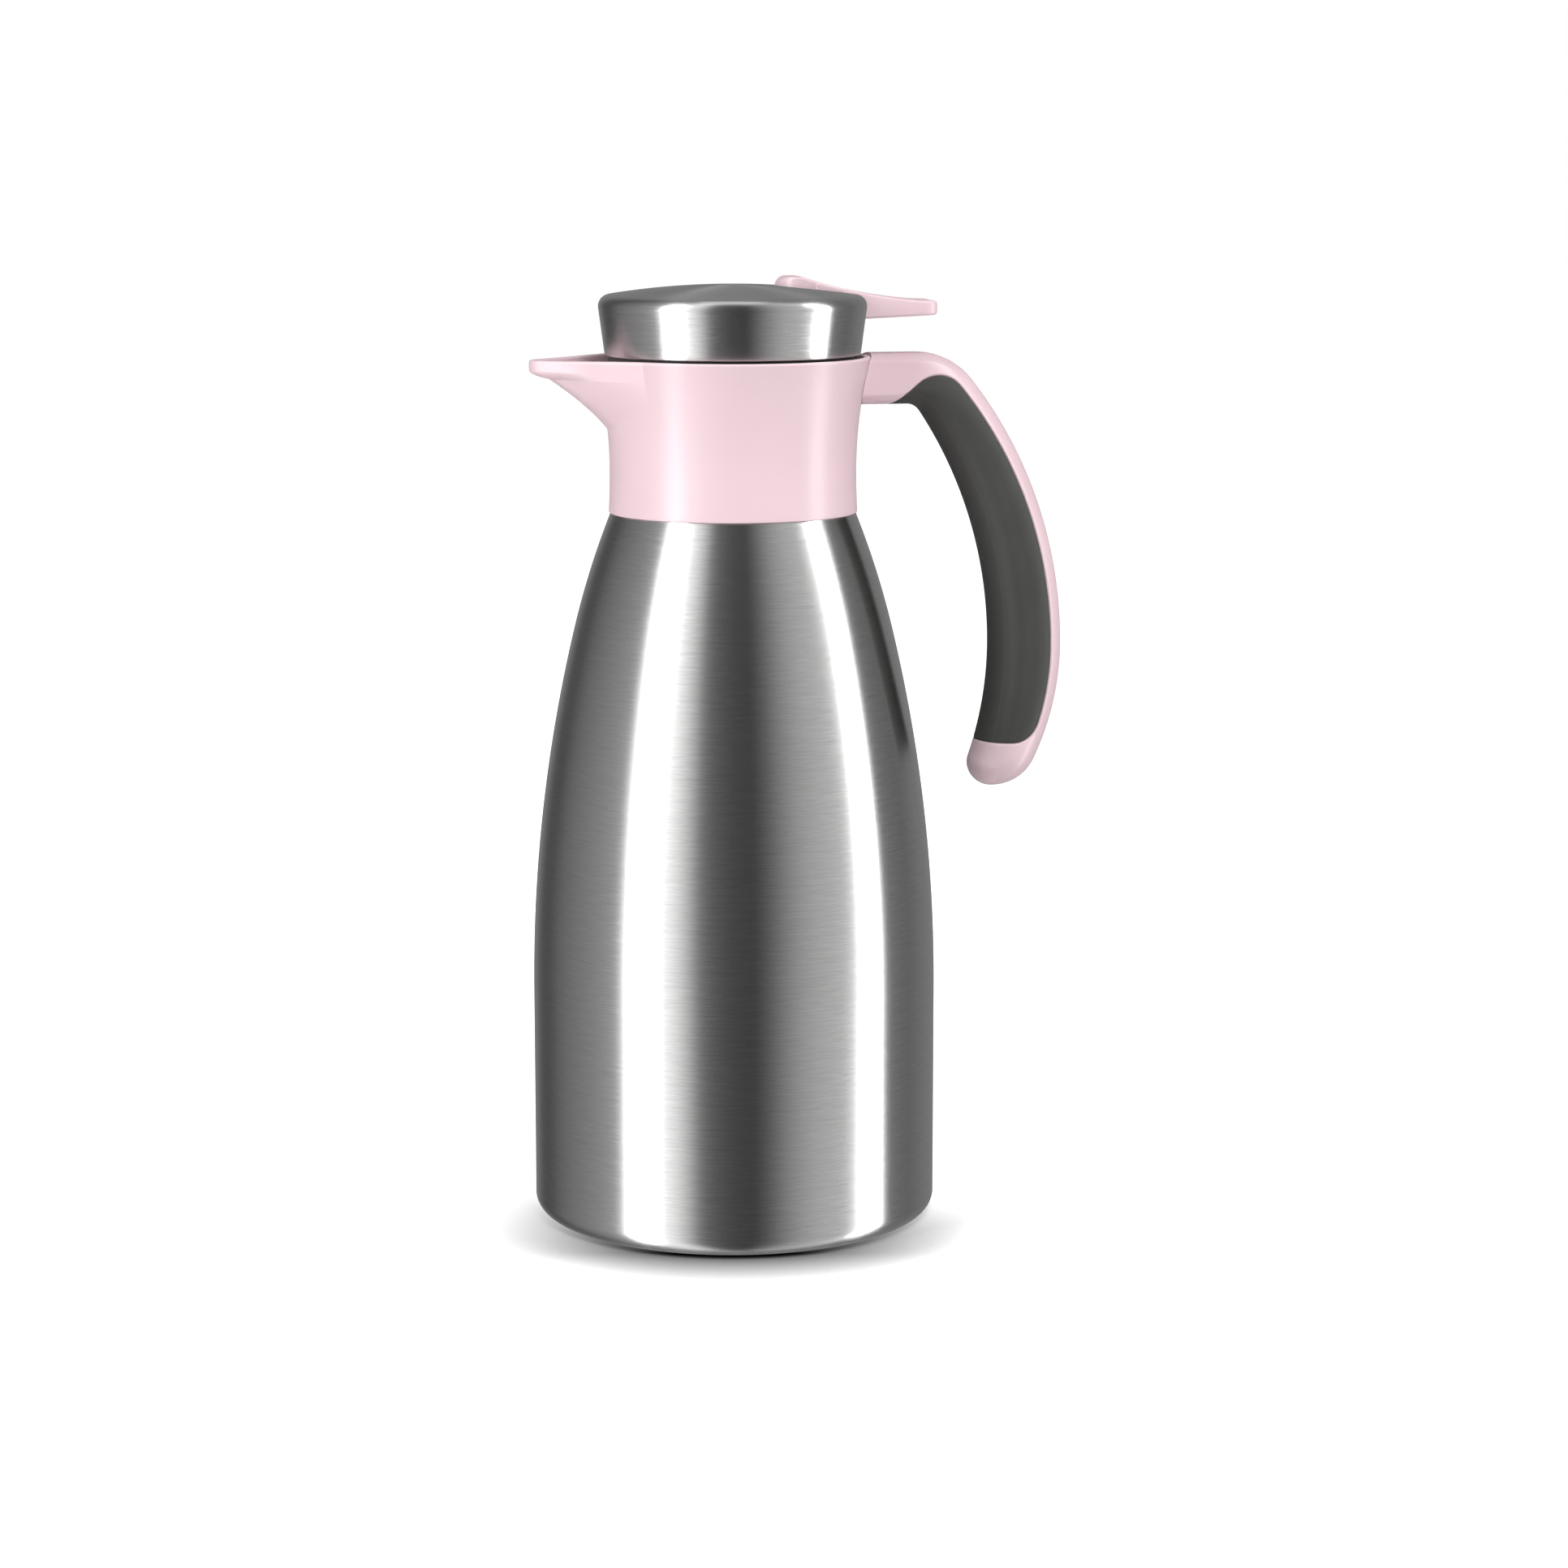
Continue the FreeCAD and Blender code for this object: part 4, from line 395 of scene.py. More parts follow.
def narrowing(first, left, right):
    """Ruled surface between two lines that meet at their ends; the first row's bow fades by (1 - v)^2."""
    step = right[0] - left[0]
    u = (first - left[0]) @ step / (step @ step)
    u = ((u - u[0]) / (u[-1] - u[0]))[None, :, None]
    v = np.linspace(0.0, 1.0, len(left))[:, None, None]
    bow = first[None] - left[0] - u * step
    return left[:, None] + u * (right - left)[:, None] + (1.0 - v) ** 2 * bow


# ---------------------------------------------------------------- meshes


def grid_faces(rows, columns):
    """Four-sided faces of a grid of points, row after row."""
    row, column = np.meshgrid(np.arange(rows - 1), np.arange(columns - 1), indexing="ij")
    corner = row * columns + column
    return np.stack([corner, corner + 1, corner + columns + 1, corner + columns], -1).reshape(-1, 4)


def make_piece(name, grids, crease=None):
    """One object from grids of points in mm with their surface coordinates; edges that meet are joined."""
    points, faces, places, count = [], [], [], 0
    for grid, place in grids:
        rows, columns = grid.shape[:2]
        faces.append(grid_faces(rows, columns) + count)
        points.append(grid.reshape(-1, 3) * MM)
        places.append(np.broadcast_to(place, (rows, columns, 2)).reshape(-1, 2))
        count += rows * columns
    faces = np.concatenate(faces)
    mesh = bpy.data.meshes.new(name)
    mesh.from_pydata(np.concatenate(points).tolist(), [], faces.tolist())
    layer = mesh.uv_layers.new(name="surface")
    layer.data.foreach_set("uv", np.concatenate(places)[faces.ravel()].astype(np.float32).ravel())
    work = bmesh.new()
    work.from_mesh(mesh)
    bmesh.ops.remove_doubles(work, verts=work.verts, dist=MERGE)
    bmesh.ops.dissolve_degenerate(work, edges=work.edges, dist=SLIVER)
    bmesh.ops.recalc_face_normals(work, faces=work.faces)
    work.to_mesh(mesh)
    work.free()
    mesh.polygons.foreach_set("use_smooth", np.ones(len(mesh.polygons), bool))
    if crease is not None:
        mesh.set_sharp_from_angle(angle=math.radians(crease))
    piece = bpy.data.objects.new(name, mesh)
    bpy.context.scene.collection.objects.link(piece)
    return piece


def thicken(piece, wall):
    """Give a sheet a wall on its inner side."""
    solid = piece.modifiers.new("wall", "SOLIDIFY")
    solid.thickness = wall
    solid.offset = -1.0


def settle(piece, body, node, finish):
    """Let a piece stand for a CAD node, ride on that node's body and take its finish."""
    piece.data.materials.append(finish)
    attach(piece, body)
    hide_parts(node)


def turned(profile, steps):
    """Profile of (distance, height) carried round the axis: (r cos a, r sin a, z).

    The surface coordinates are the shares round and along.
    """
    angle = np.linspace(0.0, 2.0 * np.pi, steps + 1)[None]
    r = profile[:, 0, None]
    grid = np.stack([r * np.cos(angle), r * np.sin(angle), profile[:, 1, None] + 0.0 * angle], -1)
    place = np.stack(np.meshgrid(angle[0] / (2.0 * np.pi), np.linspace(0.0, 1.0, len(profile))), -1)
    return grid, place


# ---------------------------------------------------------------- body


def body_profile(radius, wall):
    """Closed outline of the outer wall: foot, rounded edge, straight side, long taper, shoulder and neck.

    The inner line is the outer one moved in along its normal by the wall.
    """
    bend = math.asin(TAPER_RISE / TAPER_RADIUS)
    direction = np.array([math.cos(bend), math.sin(bend)])
    taper = np.array([radius - TAPER_RADIUS, SIDE_TOP])
    centre = taper + TAPER_RADIUS * direction - SHOULDER_RADIUS * direction
    neck = math.acos((NECK_RADIUS - centre[0]) / SHOULDER_RADIUS)
    foot = centre[1] + SHOULDER_RADIUS * math.sin(neck)
    outer = chain(
        run((BASE_HOLE, 0.0), (radius - BASE_EDGE, 0.0), 4),
        arc((radius - BASE_EDGE, BASE_EDGE), BASE_EDGE, -90.0, 0.0, 18),
        run((radius, BASE_EDGE), (radius, SIDE_TOP), 40),
        arc(taper, TAPER_RADIUS, 0.0, math.degrees(bend), 80),
        arc(centre, SHOULDER_RADIUS, math.degrees(bend), math.degrees(neck), 44),
        run((NECK_RADIUS, foot), (NECK_RADIUS, NECK_TOP), 5),
    )
    slope = np.gradient(outer, axis=0)
    slope /= np.linalg.norm(slope, axis=1)[:, None]
    inner = outer - wall * np.stack([slope[:, 1], -slope[:, 0]], -1)
    return np.concatenate([outer, inner[::-3], inner[:1], outer[:1]])


# ---------------------------------------------------------------- cap


def cap_profile(edge):
    """Outline of the cap: rolled foot, leaning side, rounded edge, and dome to the middle.

    The edge's circle touches the side and the dome. The line is cut at the foot of the lever's notch.
    """
    foot = np.array([CAP_RADIUS, CAP_FOOT + CAP_HEM])
    rise = np.array([math.sin(CAP_LEAN), math.cos(CAP_LEAN)])
    out = np.array([math.cos(CAP_LEAN), -math.sin(CAP_LEAN)])
    dome = np.array([0.0, CAP_TOP - DOME_RADIUS])
    start = foot - edge * out - dome
    half = start @ rise
    reach = -half + math.sqrt(half * half - start @ start + (DOME_RADIUS - edge) ** 2)
    centre = start + reach * rise + dome
    top = math.atan2(centre[1] - dome[1], centre[0])
    hem = arc((CAP_RADIUS - CAP_HEM, CAP_FOOT + CAP_HEM), CAP_HEM, -90.0, -8.0, 7)
    notch = foot + rise * (NOTCH_FOOT - foot[1]) / rise[1]
    low = chain(hem, run(hem[-1], notch, 12))
    nose = SLOT_NOSE - SLOT_HALF
    corner = math.hypot(SLOT_NOSE, SLOT_HALF)
    radii = chain(
        np.linspace(DOME_RADIUS * math.cos(top), corner, 24),
        nose + (corner - nose) * np.linspace(1.0, 0.0, 30) ** 2,
        np.linspace(nose, 0.0, 16),
    )
    crown = np.stack([radii, dome[1] + np.sqrt(DOME_RADIUS**2 - radii**2)], -1)
    high = chain(
        run(notch, foot + reach * rise, 24),
        arc(centre, edge, -math.degrees(CAP_LEAN), math.degrees(top), 20),
        crown,
    )
    return low, high


def slot_angle(r):
    """Half the angle of the lever's slot at a distance from the axis.

    None inside its nose, then by the nose's circle, then by the straight sides.
    """
    nose, half = SLOT_NOSE, SLOT_HALF
    safe = np.maximum(r, half)
    rounded = np.arccos(np.clip((r * r + nose * nose - half * half) / (2.0 * safe * nose), -1.0, 1.0))
    straight = np.arcsin(np.clip(half / safe, 0.0, 1.0))
    angle = np.where(r < math.hypot(nose, half), rounded, straight)
    return np.where(r <= nose - half, 0.0, angle)


def ring(profile, start, end, columns):
    """Profile carried round from one angle to another; the angles may change along it."""
    share = np.linspace(0.0, 1.0, columns)[None]
    angle = start[:, None] + (end - start)[:, None] * share
    r, z = profile[:, 0, None], profile[:, 1, None]
    grid = np.stack([r * np.cos(angle), r * np.sin(angle), z + 0.0 * angle], -1)
    return grid, np.stack([angle / (2.0 * np.pi), HEIGHT_MAP * z + 0.0 * angle], -1)


def cap_grids(edge, steps):
    """Cap as a ring below the lever's notch and a sheet with the slot left open above it."""
    low, high = cap_profile(edge)
    side = slot_angle(low[-1:, 0])[0] + np.zeros(len(low))
    slot = slot_angle(high[:, 0])
    full = 2.0 * np.pi
    return [
        ring(low, side, full - side, steps),
        ring(low, -side, side, 14),
        ring(high, slot, full - slot, steps),
    ]


# ---------------------------------------------------------------- collar


def collar_radius(z):
    """Outside of the collar: a slight flare to the foot, and an arc from the waist out to the upper edge."""
    flare = (COLLAR_RISE**2 + TOP_SPREAD**2) / (2.0 * TOP_SPREAD)
    high = WAIST_RADIUS + flare - np.sqrt(flare**2 - np.maximum(z - COLLAR_WAIST, 0.0) ** 2)
    return high + FOOT_SPREAD * (np.maximum(COLLAR_WAIST - z, 0.0) / (COLLAR_WAIST - COLLAR_FOOT)) ** 2


def beak(angle, reach, nose, root_radius, root_angle):
    """Distance from the axis to a beak in plan.

    A round nose, then straight flanks that touch it and end on a circle.
    """
    centre = reach - nose
    px = root_radius * math.cos(root_angle) - centre
    py = root_radius * math.sin(root_angle)
    normal = np.arctan2(py, px) - np.arccos(np.clip(nose / np.hypot(px, py), -1.0, 1.0))
    flank = centre * np.cos(normal) + nose
    touch = np.arctan2(nose * np.sin(normal), centre + nose * np.cos(normal))
    side = np.abs(angle)
    rounded = centre * np.cos(side) + np.sqrt(np.maximum(nose**2 - (centre * np.sin(side)) ** 2, 0.0))
    straight = flank / np.maximum(np.cos(side - normal), 0.05)
    return np.where(side < touch, rounded, np.where(side <= root_angle + 1e-9, straight, 0.0))


def collar_outside(angle, z, reach):
    """The larger of round collar and beak, with a soft crease between them under the lip.

    The underside is bowed. The lip swells as a sine at the tip and slowly beside it.
    """
    share = np.minimum((z - SPOUT_FOOT) / (LIP_FOOT - SPOUT_FOOT), 1.0)
    low_reach = SPOUT_START + (LIP_START - SPOUT_START) * share - 4.6 * share * (1.0 - share)
    swell = np.sin(np.clip((z - LIP_FOOT) / 2.35, 0.0, 1.0) * np.pi / 2.0) ** 0.8
    slow = np.clip((z - 222.0) / 16.0, 0.0, 1.0) ** 1.5
    swell = swell + smooth((np.abs(angle) - 0.14) / 0.2) * (slow - swell)
    tip = low_reach + (reach - LIP_START) * swell
    nose = 22.0 - 16.0 * share - 0.8 * swell
    wall = collar_radius(z)
    spout = np.where(z > SPOUT_FOOT - 2.0, beak(angle, tip, nose, wall, SPOUT_ROOT), 0.0)
    off_root = np.clip((SPOUT_ROOT - np.abs(angle)) / math.radians(12.0), 0.0, 1.0)
    soft = 0.3 * off_root * np.clip((236.0 - z) / 4.0, 0.0, 1.0)
    return (wall + spout + np.sqrt((wall - spout) ** 2 + soft**2)) / 2.0


def collar_inside(angle, z, reach):
    """The larger of the mouth's cone and the trough, with a flat pad for two screws opposite the spout."""
    cone = MOUTH_RADIUS + 2.1 * np.clip((z - MOUTH_FOOT) / (COLLAR_TOP - MOUTH_FOOT), 0.0, 1.0)
    share = np.clip((z - MOUTH_FOOT) / 7.7, 0.0, 1.0)
    bent = share - 0.06 * np.sin(np.pi * share)
    floor = TROUGH_START + bent * (reach - TROUGH_START)
    trough = beak(angle, floor, 20.0 - 16.2 * share, cone, TROUGH_ROOT)
    wall = np.maximum(cone, trough)
    back = np.pi - np.abs(angle)
    pad = PAD_DISTANCE / np.maximum(np.cos(back), 0.1)
    on_pad = (pad * np.sin(back) < PAD_HALF) & (back < 1.0) & (z > PAD_LOW) & (z < PAD_HIGH)
    return np.where(on_pad, pad, wall)


def collar_grid(reach, lip, rim):
    """Closed section of the collar at each angle: up the outside, over the rim, down the inside and back."""
    stops, counts = (0.0, 7.0, 40.7, 41.3, 165.0, 180.0), (22, 56, 5, 78, 30)
    half = chain(*(np.linspace(*span) for span in zip(stops, stops[1:], counts)))
    angle = np.radians(np.concatenate([-half[:0:-1], half]))[None]
    level = 0.0 * angle
    top = COLLAR_TOP - 0.5 * np.exp(-((angle / math.radians(24.0)) ** 2))
    bands = ((COLLAR_FOOT + 0.15, 218.0, 34), (218.4, LIP_FOOT - 0.1, 46), (LIP_FOOT, 236.0, 30))
    low = np.concatenate([np.linspace(*band) for band in bands])[:, None] + level
    lift = np.linspace(0.0, 1.0, 8)[1:, None]
    z_out = np.concatenate([low, low[-1:] + lift * (top - rim - low[-1:])])
    r_out = collar_outside(angle, z_out, reach)
    edge_in = collar_inside(angle, top - rim, reach - lip)
    turn = np.radians(np.linspace(0.0, 90.0, 8))[:, None]
    r_top = np.concatenate([r_out[-1:] - rim + rim * np.cos(turn[1:]), edge_in + rim - rim * np.sin(turn)])
    z_top = np.concatenate([top - rim + rim * np.sin(turn[1:]), top - rim + rim * np.cos(turn)])
    fall = np.linspace(0.0, 1.0, 9)[1:, None]
    bands = ((236.2, 235.1, 7), (PAD_HIGH - 0.01, PAD_LOW + 0.01, 40), (PAD_LOW - 0.01, MOUTH_FOOT, 3))
    down = np.concatenate([np.linspace(*band) for band in bands])[:, None] + level
    z_in = np.concatenate([top - rim + fall * (236.3 - top + rim), down])
    r_in = collar_inside(angle, z_in, reach - lip)
    hidden = np.array(
        [
            [33.9, 227.0], [32.1, 226.95], [32.1, 211.6], [31.2, 211.5], [31.6, 203.0],
            [33.75, 196.6], [33.85, 196.5], [34.0, 196.5], [34.12, 196.56],
        ]
    )
    r = np.concatenate([r_out, r_top, r_in, hidden[:, 0, None] + level, r_out[:1]])
    z = np.concatenate([z_out, z_top, z_in, hidden[:, 1, None] + level, z_out[:1]])
    grid = np.stack([-r * np.cos(angle), r * np.sin(angle), z], -1)
    return grid, np.stack([angle / (2.0 * np.pi) + 0.0 * r, HEIGHT_MAP * z], -1)


# ---------------------------------------------------------------- handle


def root_wall(z):
    """Where the handle's root ends: the collar's outside and a small gap, upright above the collar's edge."""
    return collar_radius(np.minimum(z, ROOT_TOP)) + ROOT_GAP


def handle_lines():
    """The handle's lines in side view: inner and outer outline, and three sides of the grip's boundary."""
    inner = chain(
        run((root_wall(ARM_LOW), ARM_LOW), (48.21, ARM_LOW), 40),
        arc((48.21, 220.4), 5.0, 90.0, 33.86, 30),
        arc(PALM_UPPER, 117.0, 33.86, 0.0, 150),
        arc(PALM_LOWER, 97.0, 0.0, -19.0, 70),
        arc((72.78, 124.4), 6.2, 161.0, 270.0, 60),
        run((72.78, TIP_FOOT), (73.1, TIP_FOOT), 3),
    )
    outer = chain(
        run((root_wall(ARM_TOP), ARM_TOP), (51.0, ARM_TOP), 40),
        arc((51.0, 219.6), 20.0, 90.0, 38.48, 50),
        arc(SPINE_UPPER, 119.0, 38.48, 0.0, 160),
        arc(SPINE_LOWER, 75.0, 0.0, -25.6, 70),
        arc((73.41, 131.2), 13.0, -25.6, -90.0, 60),
        run((73.41, TIP_FOOT), (73.1, TIP_FOOT), 3),
    )
    top = chain(run((42.33, ARM_LOW), (49.87, 231.73), 60), arc((55.33, 225.22), 8.5, 130.0, 39.4, 60))
    band = chain(arc(SPINE_UPPER, 114.4, 39.4, 0.0, 160), arc(SPINE_LOWER, 70.4, 0.0, -17.44, 60))
    foot = chain(run((68.45, 131.3), (77.03, 131.3), 50), arc((77.03, 139.3), 8.0, -90.0, -17.44, 50))
    top[0], foot[0] = between(inner, top[0], foot[0], (0.0, 1.0))
    top[-1], foot[-1] = band[0], band[-1]
    return inner, outer, top, band, foot


def between(outline, start, end, shares):
    """Points of an outline between the places nearest to two points, at shares of that length."""
    ends = np.array([start, end], float)
    _, place = gap_to(ends[None], outline)
    first, last = place[0]
    length = np.linalg.norm(np.diff(outline, axis=0), axis=1).sum()
    return along(outline, (first + np.asarray(shares) * (last - first)) / length)


def ellipse_edge(gap, depth):
    """Share of the full width near an edge rounded as a quarter ellipse of that depth."""
    return np.sqrt(np.maximum(1.0 - (1.0 - np.clip(gap / depth, 0.0, 1.0)) ** 2, 0.0))


def handle_half_width(points, lines, half):
    """Half the handle's width: the full half times an edge rounding from each outline.

    The arm's top is a low crown, and the tip is rounded by its distance from both outlines together.
    """
    gap_in, place_in = gap_to(points, lines[0])
    gap_out, place_out = gap_to(points, lines[1])
    depth_in = 3.4 + 4.8 * smooth((place_in - 7.0) / 16.0)
    crown = np.sqrt(np.clip(gap_out / 2.1, 0.0, 1.0))
    bent = smooth((place_out - 12.0) / 17.0)
    out = crown + bent * (ellipse_edge(gap_out, 9.0) - crown)
    sides = ellipse_edge(gap_in, depth_in) * out
    both = (np.maximum(gap_in, 1e-6) ** -4.0 + np.maximum(gap_out, 1e-6) ** -4.0) ** -0.25
    both = np.where(np.minimum(gap_in, gap_out) < 1e-5, 0.0, both)
    tip = smooth((136.0 - points[..., 1]) / 9.0)
    return half * (sides + tip * (ellipse_edge(both, 8.6) - sides)), gap_in


def handle_blocks(lines):
    """Four surfaces in side view that share their edges: grip, bare spine, arm and tip."""
    inner, outer, top, band, foot = lines
    across, edge, rows = eased(54), eased(22), soft_ends(230)
    top_line, foot_line = along(top, across), along(foot, across)
    band_line = along(band, rows)
    palm_line = between(inner, top[0], foot[0], rows)
    high, low = np.array([66.66, 232.04]), np.array([89.22, 136.07])
    spine_line = between(outer, high, low, rows)
    high_edge, low_edge = (along(run(band[end], spine_line[end], 2), edge) for end in (0, -1))
    grip = patch(top_line, foot_line, palm_line, band_line)
    spine = patch(high_edge, low_edge, band_line, spine_line)
    reach = soft_ends(90, 0.7)
    split = 236.4
    root_z = np.concatenate([ARM_LOW + across * (split - ARM_LOW), split + edge[1:] * (ARM_TOP - split)])
    root = np.stack([root_wall(root_z), root_z], -1)
    arm = patch(
        root,
        chain(top_line, high_edge),
        between(inner, inner[0], top[0], reach),
        between(outer, outer[0], spine_line[0], reach),
    )
    drop = 1.0 - np.linspace(1.0, 0.0, 90) ** 1.6
    tip = narrowing(
        chain(foot_line, low_edge),
        between(inner, foot[0], inner[-1], drop),
        between(outer, spine_line[-1], outer[-1], drop),
    )
    return grip, spine, arm, tip


def to_sides(points, half, near_root=False):
    """Both sides of a surface in side view, at its half width either side of the middle.

    The root is drawn in to follow the round collar, fading along the arm.
    """
    x, z = points[..., 0], points[..., 1]
    if near_root:
        wall = root_wall(z)
        hollow = wall - np.sqrt(wall**2 - half**2)
        x = x - hollow * (1.0 - smooth((x - wall) / 6.0))
    return [np.stack([x, side * half, z], -1) for side in (1.0, -1.0)]


def less(half, drop):
    """Half width made less by a drop, without crossing the middle: w^2 / (w + drop)."""
    return half * half / np.maximum(half + drop, 1e-9)


def rolled_edge(to_line, roll):
    """Share of a groove's depth at a distance from its line: (1 - d / roll)^2, and none past the roll."""
    return (1.0 - np.clip(to_line / roll, 0.0, 1.0)) ** 2


def sunk_grip(points, width, to_line, drop, depth, shift):
    """Grip's region moved in from its boundary by a depth, and from the finger side along its cross lines."""
    sunk = np.clip(to_line / 1.2, 0.0, 1.0)
    rung = points[:, -1:] - points[:, :1]
    rung = rung / np.linalg.norm(rung, axis=-1, keepdims=True)
    share = np.linspace(1.0, 0.0, points.shape[1])[None, :, None] ** 2
    moved = points + rung * share * shift * sunk[..., None]
    return to_sides(moved, less(width, drop + depth * sunk))


def handle_map(gap_in, points):
    """Surface coordinates of the handle: distance from the finger side and height, both scaled."""
    return np.stack([gap_in / GRIP_SPAN, points[..., 1] * HEIGHT_MAP], -1)


def frame_grids(half, groove, roll):
    """Grids of the handle's frame: rolled spine, arm and tip, the bed under the grip, and the root's cap."""
    lines = handle_lines()
    boundary = chain(lines[2], lines[3], lines[4][::-1])
    grids = []
    for name, points in zip(("grip", "spine", "arm", "tip"), handle_blocks(lines)):
        width, gap_in = handle_half_width(points, lines, half)
        to_line, _ = gap_to(points, boundary)
        place = handle_map(gap_in, points)
        if name == "grip":
            sides = sunk_grip(points, width, to_line, groove, BED_DEPTH, BED_SHIFT)
        else:
            width = less(width, groove * rolled_edge(to_line, roll))
            sides = to_sides(points, width, name == "arm")
        grids += [(side, place) for side in sides]
        if name == "arm":
            z = points[0, :, 1]
            y = np.linspace(-1.0, 1.0, 9)[:, None] * width[0]
            cap = np.stack([np.sqrt(root_wall(z) ** 2 - y**2), y, z + 0.0 * y], -1)
            grids.append((cap, place[0]))
    return grids


def grip_grids(half, groove, roll):
    """Grids of the soft grip: its outside, rolled down at the boundary, and its inside above the bed."""
    lines = handle_lines()
    points = handle_blocks(lines)[0]
    width, gap_in = handle_half_width(points, lines, half)
    to_line, _ = gap_to(points, chain(lines[2], lines[3], lines[4][::-1]))
    drop = 1.5 * groove
    sides = to_sides(points, less(width, drop * rolled_edge(to_line, roll)))
    sides += sunk_grip(points, width, to_line, drop, SKIN_DEPTH, SKIN_SHIFT)
    place = handle_map(gap_in, points)
    return [(side, place) for side in sides]


# ---------------------------------------------------------------- lever and spring


def end_fall(x, radius):
    """Fall of a quarter circle that ends at the lever's end: R - sqrt(R^2 - d^2)."""
    near = np.clip(x - (LEVER_END - radius), 0.0, radius)
    return radius - np.sqrt(radius**2 - near**2)


def lever_lines(x):
    """Height of the lever's top and underside along it.

    The top has a rounded nose, a crest, a run dished by a parabola to the thumb pad, and a rounded end.
    """
    crest, shelf, pad = (18.4, 260.45), (22.0, 259.2), (50.0, 253.95)
    share = np.linspace(0.0, 1.0, 40)[:, None]
    dish = run(shelf, pad, 40) - np.array([0.0, 2.55]) * share * (1.0 - share)
    line = chain(
        arc((15.4, 256.7), 3.8, 180.0, 90.0, 24),
        run((15.4, 260.5), crest, 6),
        run(crest, shelf, 8),
        dish,
        run(pad, (LEVER_END, 253.8), 12),
    )
    top = np.interp(x, line[:, 0], line[:, 1])
    low = np.interp(x, [11.0, 36.0, LEVER_END], [249.1, 249.1, 250.0])
    return top - 0.6 * end_fall(x, 1.5), low + end_fall(x, 1.0)


def rounded_section(half, low, top, edge, dish):
    """Rounded rectangle at each station: four quarter circles and a top hollow across by a parabola."""
    quarter = np.radians(np.linspace(0.0, 90.0, 7))[None]
    edge = np.minimum(edge, np.minimum(half * 0.98, (top - low) * 0.49))[:, None]
    half, low, top = half[:, None], low[:, None], top[:, None]
    inner = half - edge
    share = np.linspace(1.0, -1.0, 19)[None, 1:-1]
    y = np.concatenate(
        [
            0.0 * half, inner + edge * np.sin(quarter), inner + edge * np.cos(quarter), inner * share,
            -inner - edge * np.sin(quarter), -inner - edge * np.cos(quarter), 0.0 * half,
        ],
        axis=1,
    )
    z = np.concatenate(
        [
            low, low + edge - edge * np.cos(quarter), top - edge + edge * np.sin(quarter),
            top - dish * (1.0 - share**2) * np.ones_like(half), top - edge + edge * np.cos(quarter),
            low + edge - edge * np.sin(quarter), low,
        ],
        axis=1,
    )
    return y, z


def gathered(row):
    """A row of points drawn together at its middle, which closes the end of a bar."""
    return row.mean(axis=1, keepdims=True) + 0.0 * row


def lever_map(grid):
    """Surface coordinates of the lever, from its side view."""
    return np.stack([grid[..., 0] * LEVER_MAP, grid[..., 2] * LEVER_MAP], -1)


def prong_grids():
    """The fork's two prongs: bars with a round end, which thicken and rise towards the lever."""
    radius, half, apart = 2.5, 1.5, 4.2
    bow = np.linspace(0.0, np.pi / 2.0, 12)
    x = np.concatenate([-radius * np.cos(bow)[:-1], np.linspace(0.0, 16.0, 24)])
    rise = smooth((x - 6.2) / 8.0)
    height = np.where(x < 0.0, np.sqrt(np.maximum(radius**2 - x**2, 0.0)), radius + 0.5 * rise)
    middle = 248.5 + 2.6 * rise
    y, z = rounded_section(half + 0.0 * x, middle - height, middle + height, 0.4, np.zeros((len(x), 1)))
    grids = []
    for side in (1.0, -1.0):
        prong = np.stack([x[:, None] + 0.0 * y, y + side * apart, z], -1)
        prong = np.concatenate([gathered(prong[:1]), prong, gathered(prong[-1:])])
        grids.append((prong, lever_map(prong)))
    return grids


def lever_grids(half_width, dish):
    """Lever as rounded sections along it, with a narrower nose behind a pointed step, and its fork."""
    nose, rounding = 8.2, LEVER_END - LEVER_BACK
    bow = np.linspace(0.0, np.pi / 2.0, 34)
    x = np.concatenate(
        [
            LEVER_NOSE + nose * (1.0 - np.cos(bow))[:-1],
            np.linspace(LEVER_BODY, 24.5, 44)[:-1],
            np.linspace(24.5, LEVER_BACK, 60)[:-1],
            LEVER_BACK + rounding * np.sin(bow),
        ]
    )
    slope = half_width / nose
    front = np.sqrt(np.maximum(half_width**2 - (LEVER_BODY - x) ** 2 * slope**2, 0.0))
    back = half_width - rounding + np.sqrt(np.maximum(rounding**2 - (x - LEVER_BACK) ** 2, 0.0))
    half = np.where(x < LEVER_BODY, front, np.where(x > LEVER_BACK, back, half_width))
    top, low = lever_lines(x)
    hollow = (dish * smooth((x - 23.0) / 8.0) * smooth((LEVER_END - x) / 4.0))[:, None]
    y, z = rounded_section(half, low, top, 0.75, hollow)
    step = 20.3 + 1.1 * np.abs(z - 257.2)
    y = y * (1.0 - 0.09 * (1.0 - smooth((x[:, None] - step) / 0.4)))
    grid = np.stack([x[:, None] + 0.0 * y, y, z], -1)
    grid = np.concatenate([grid, gathered(grid[-1:])])
    return [(grid, lever_map(grid))] + prong_grids()


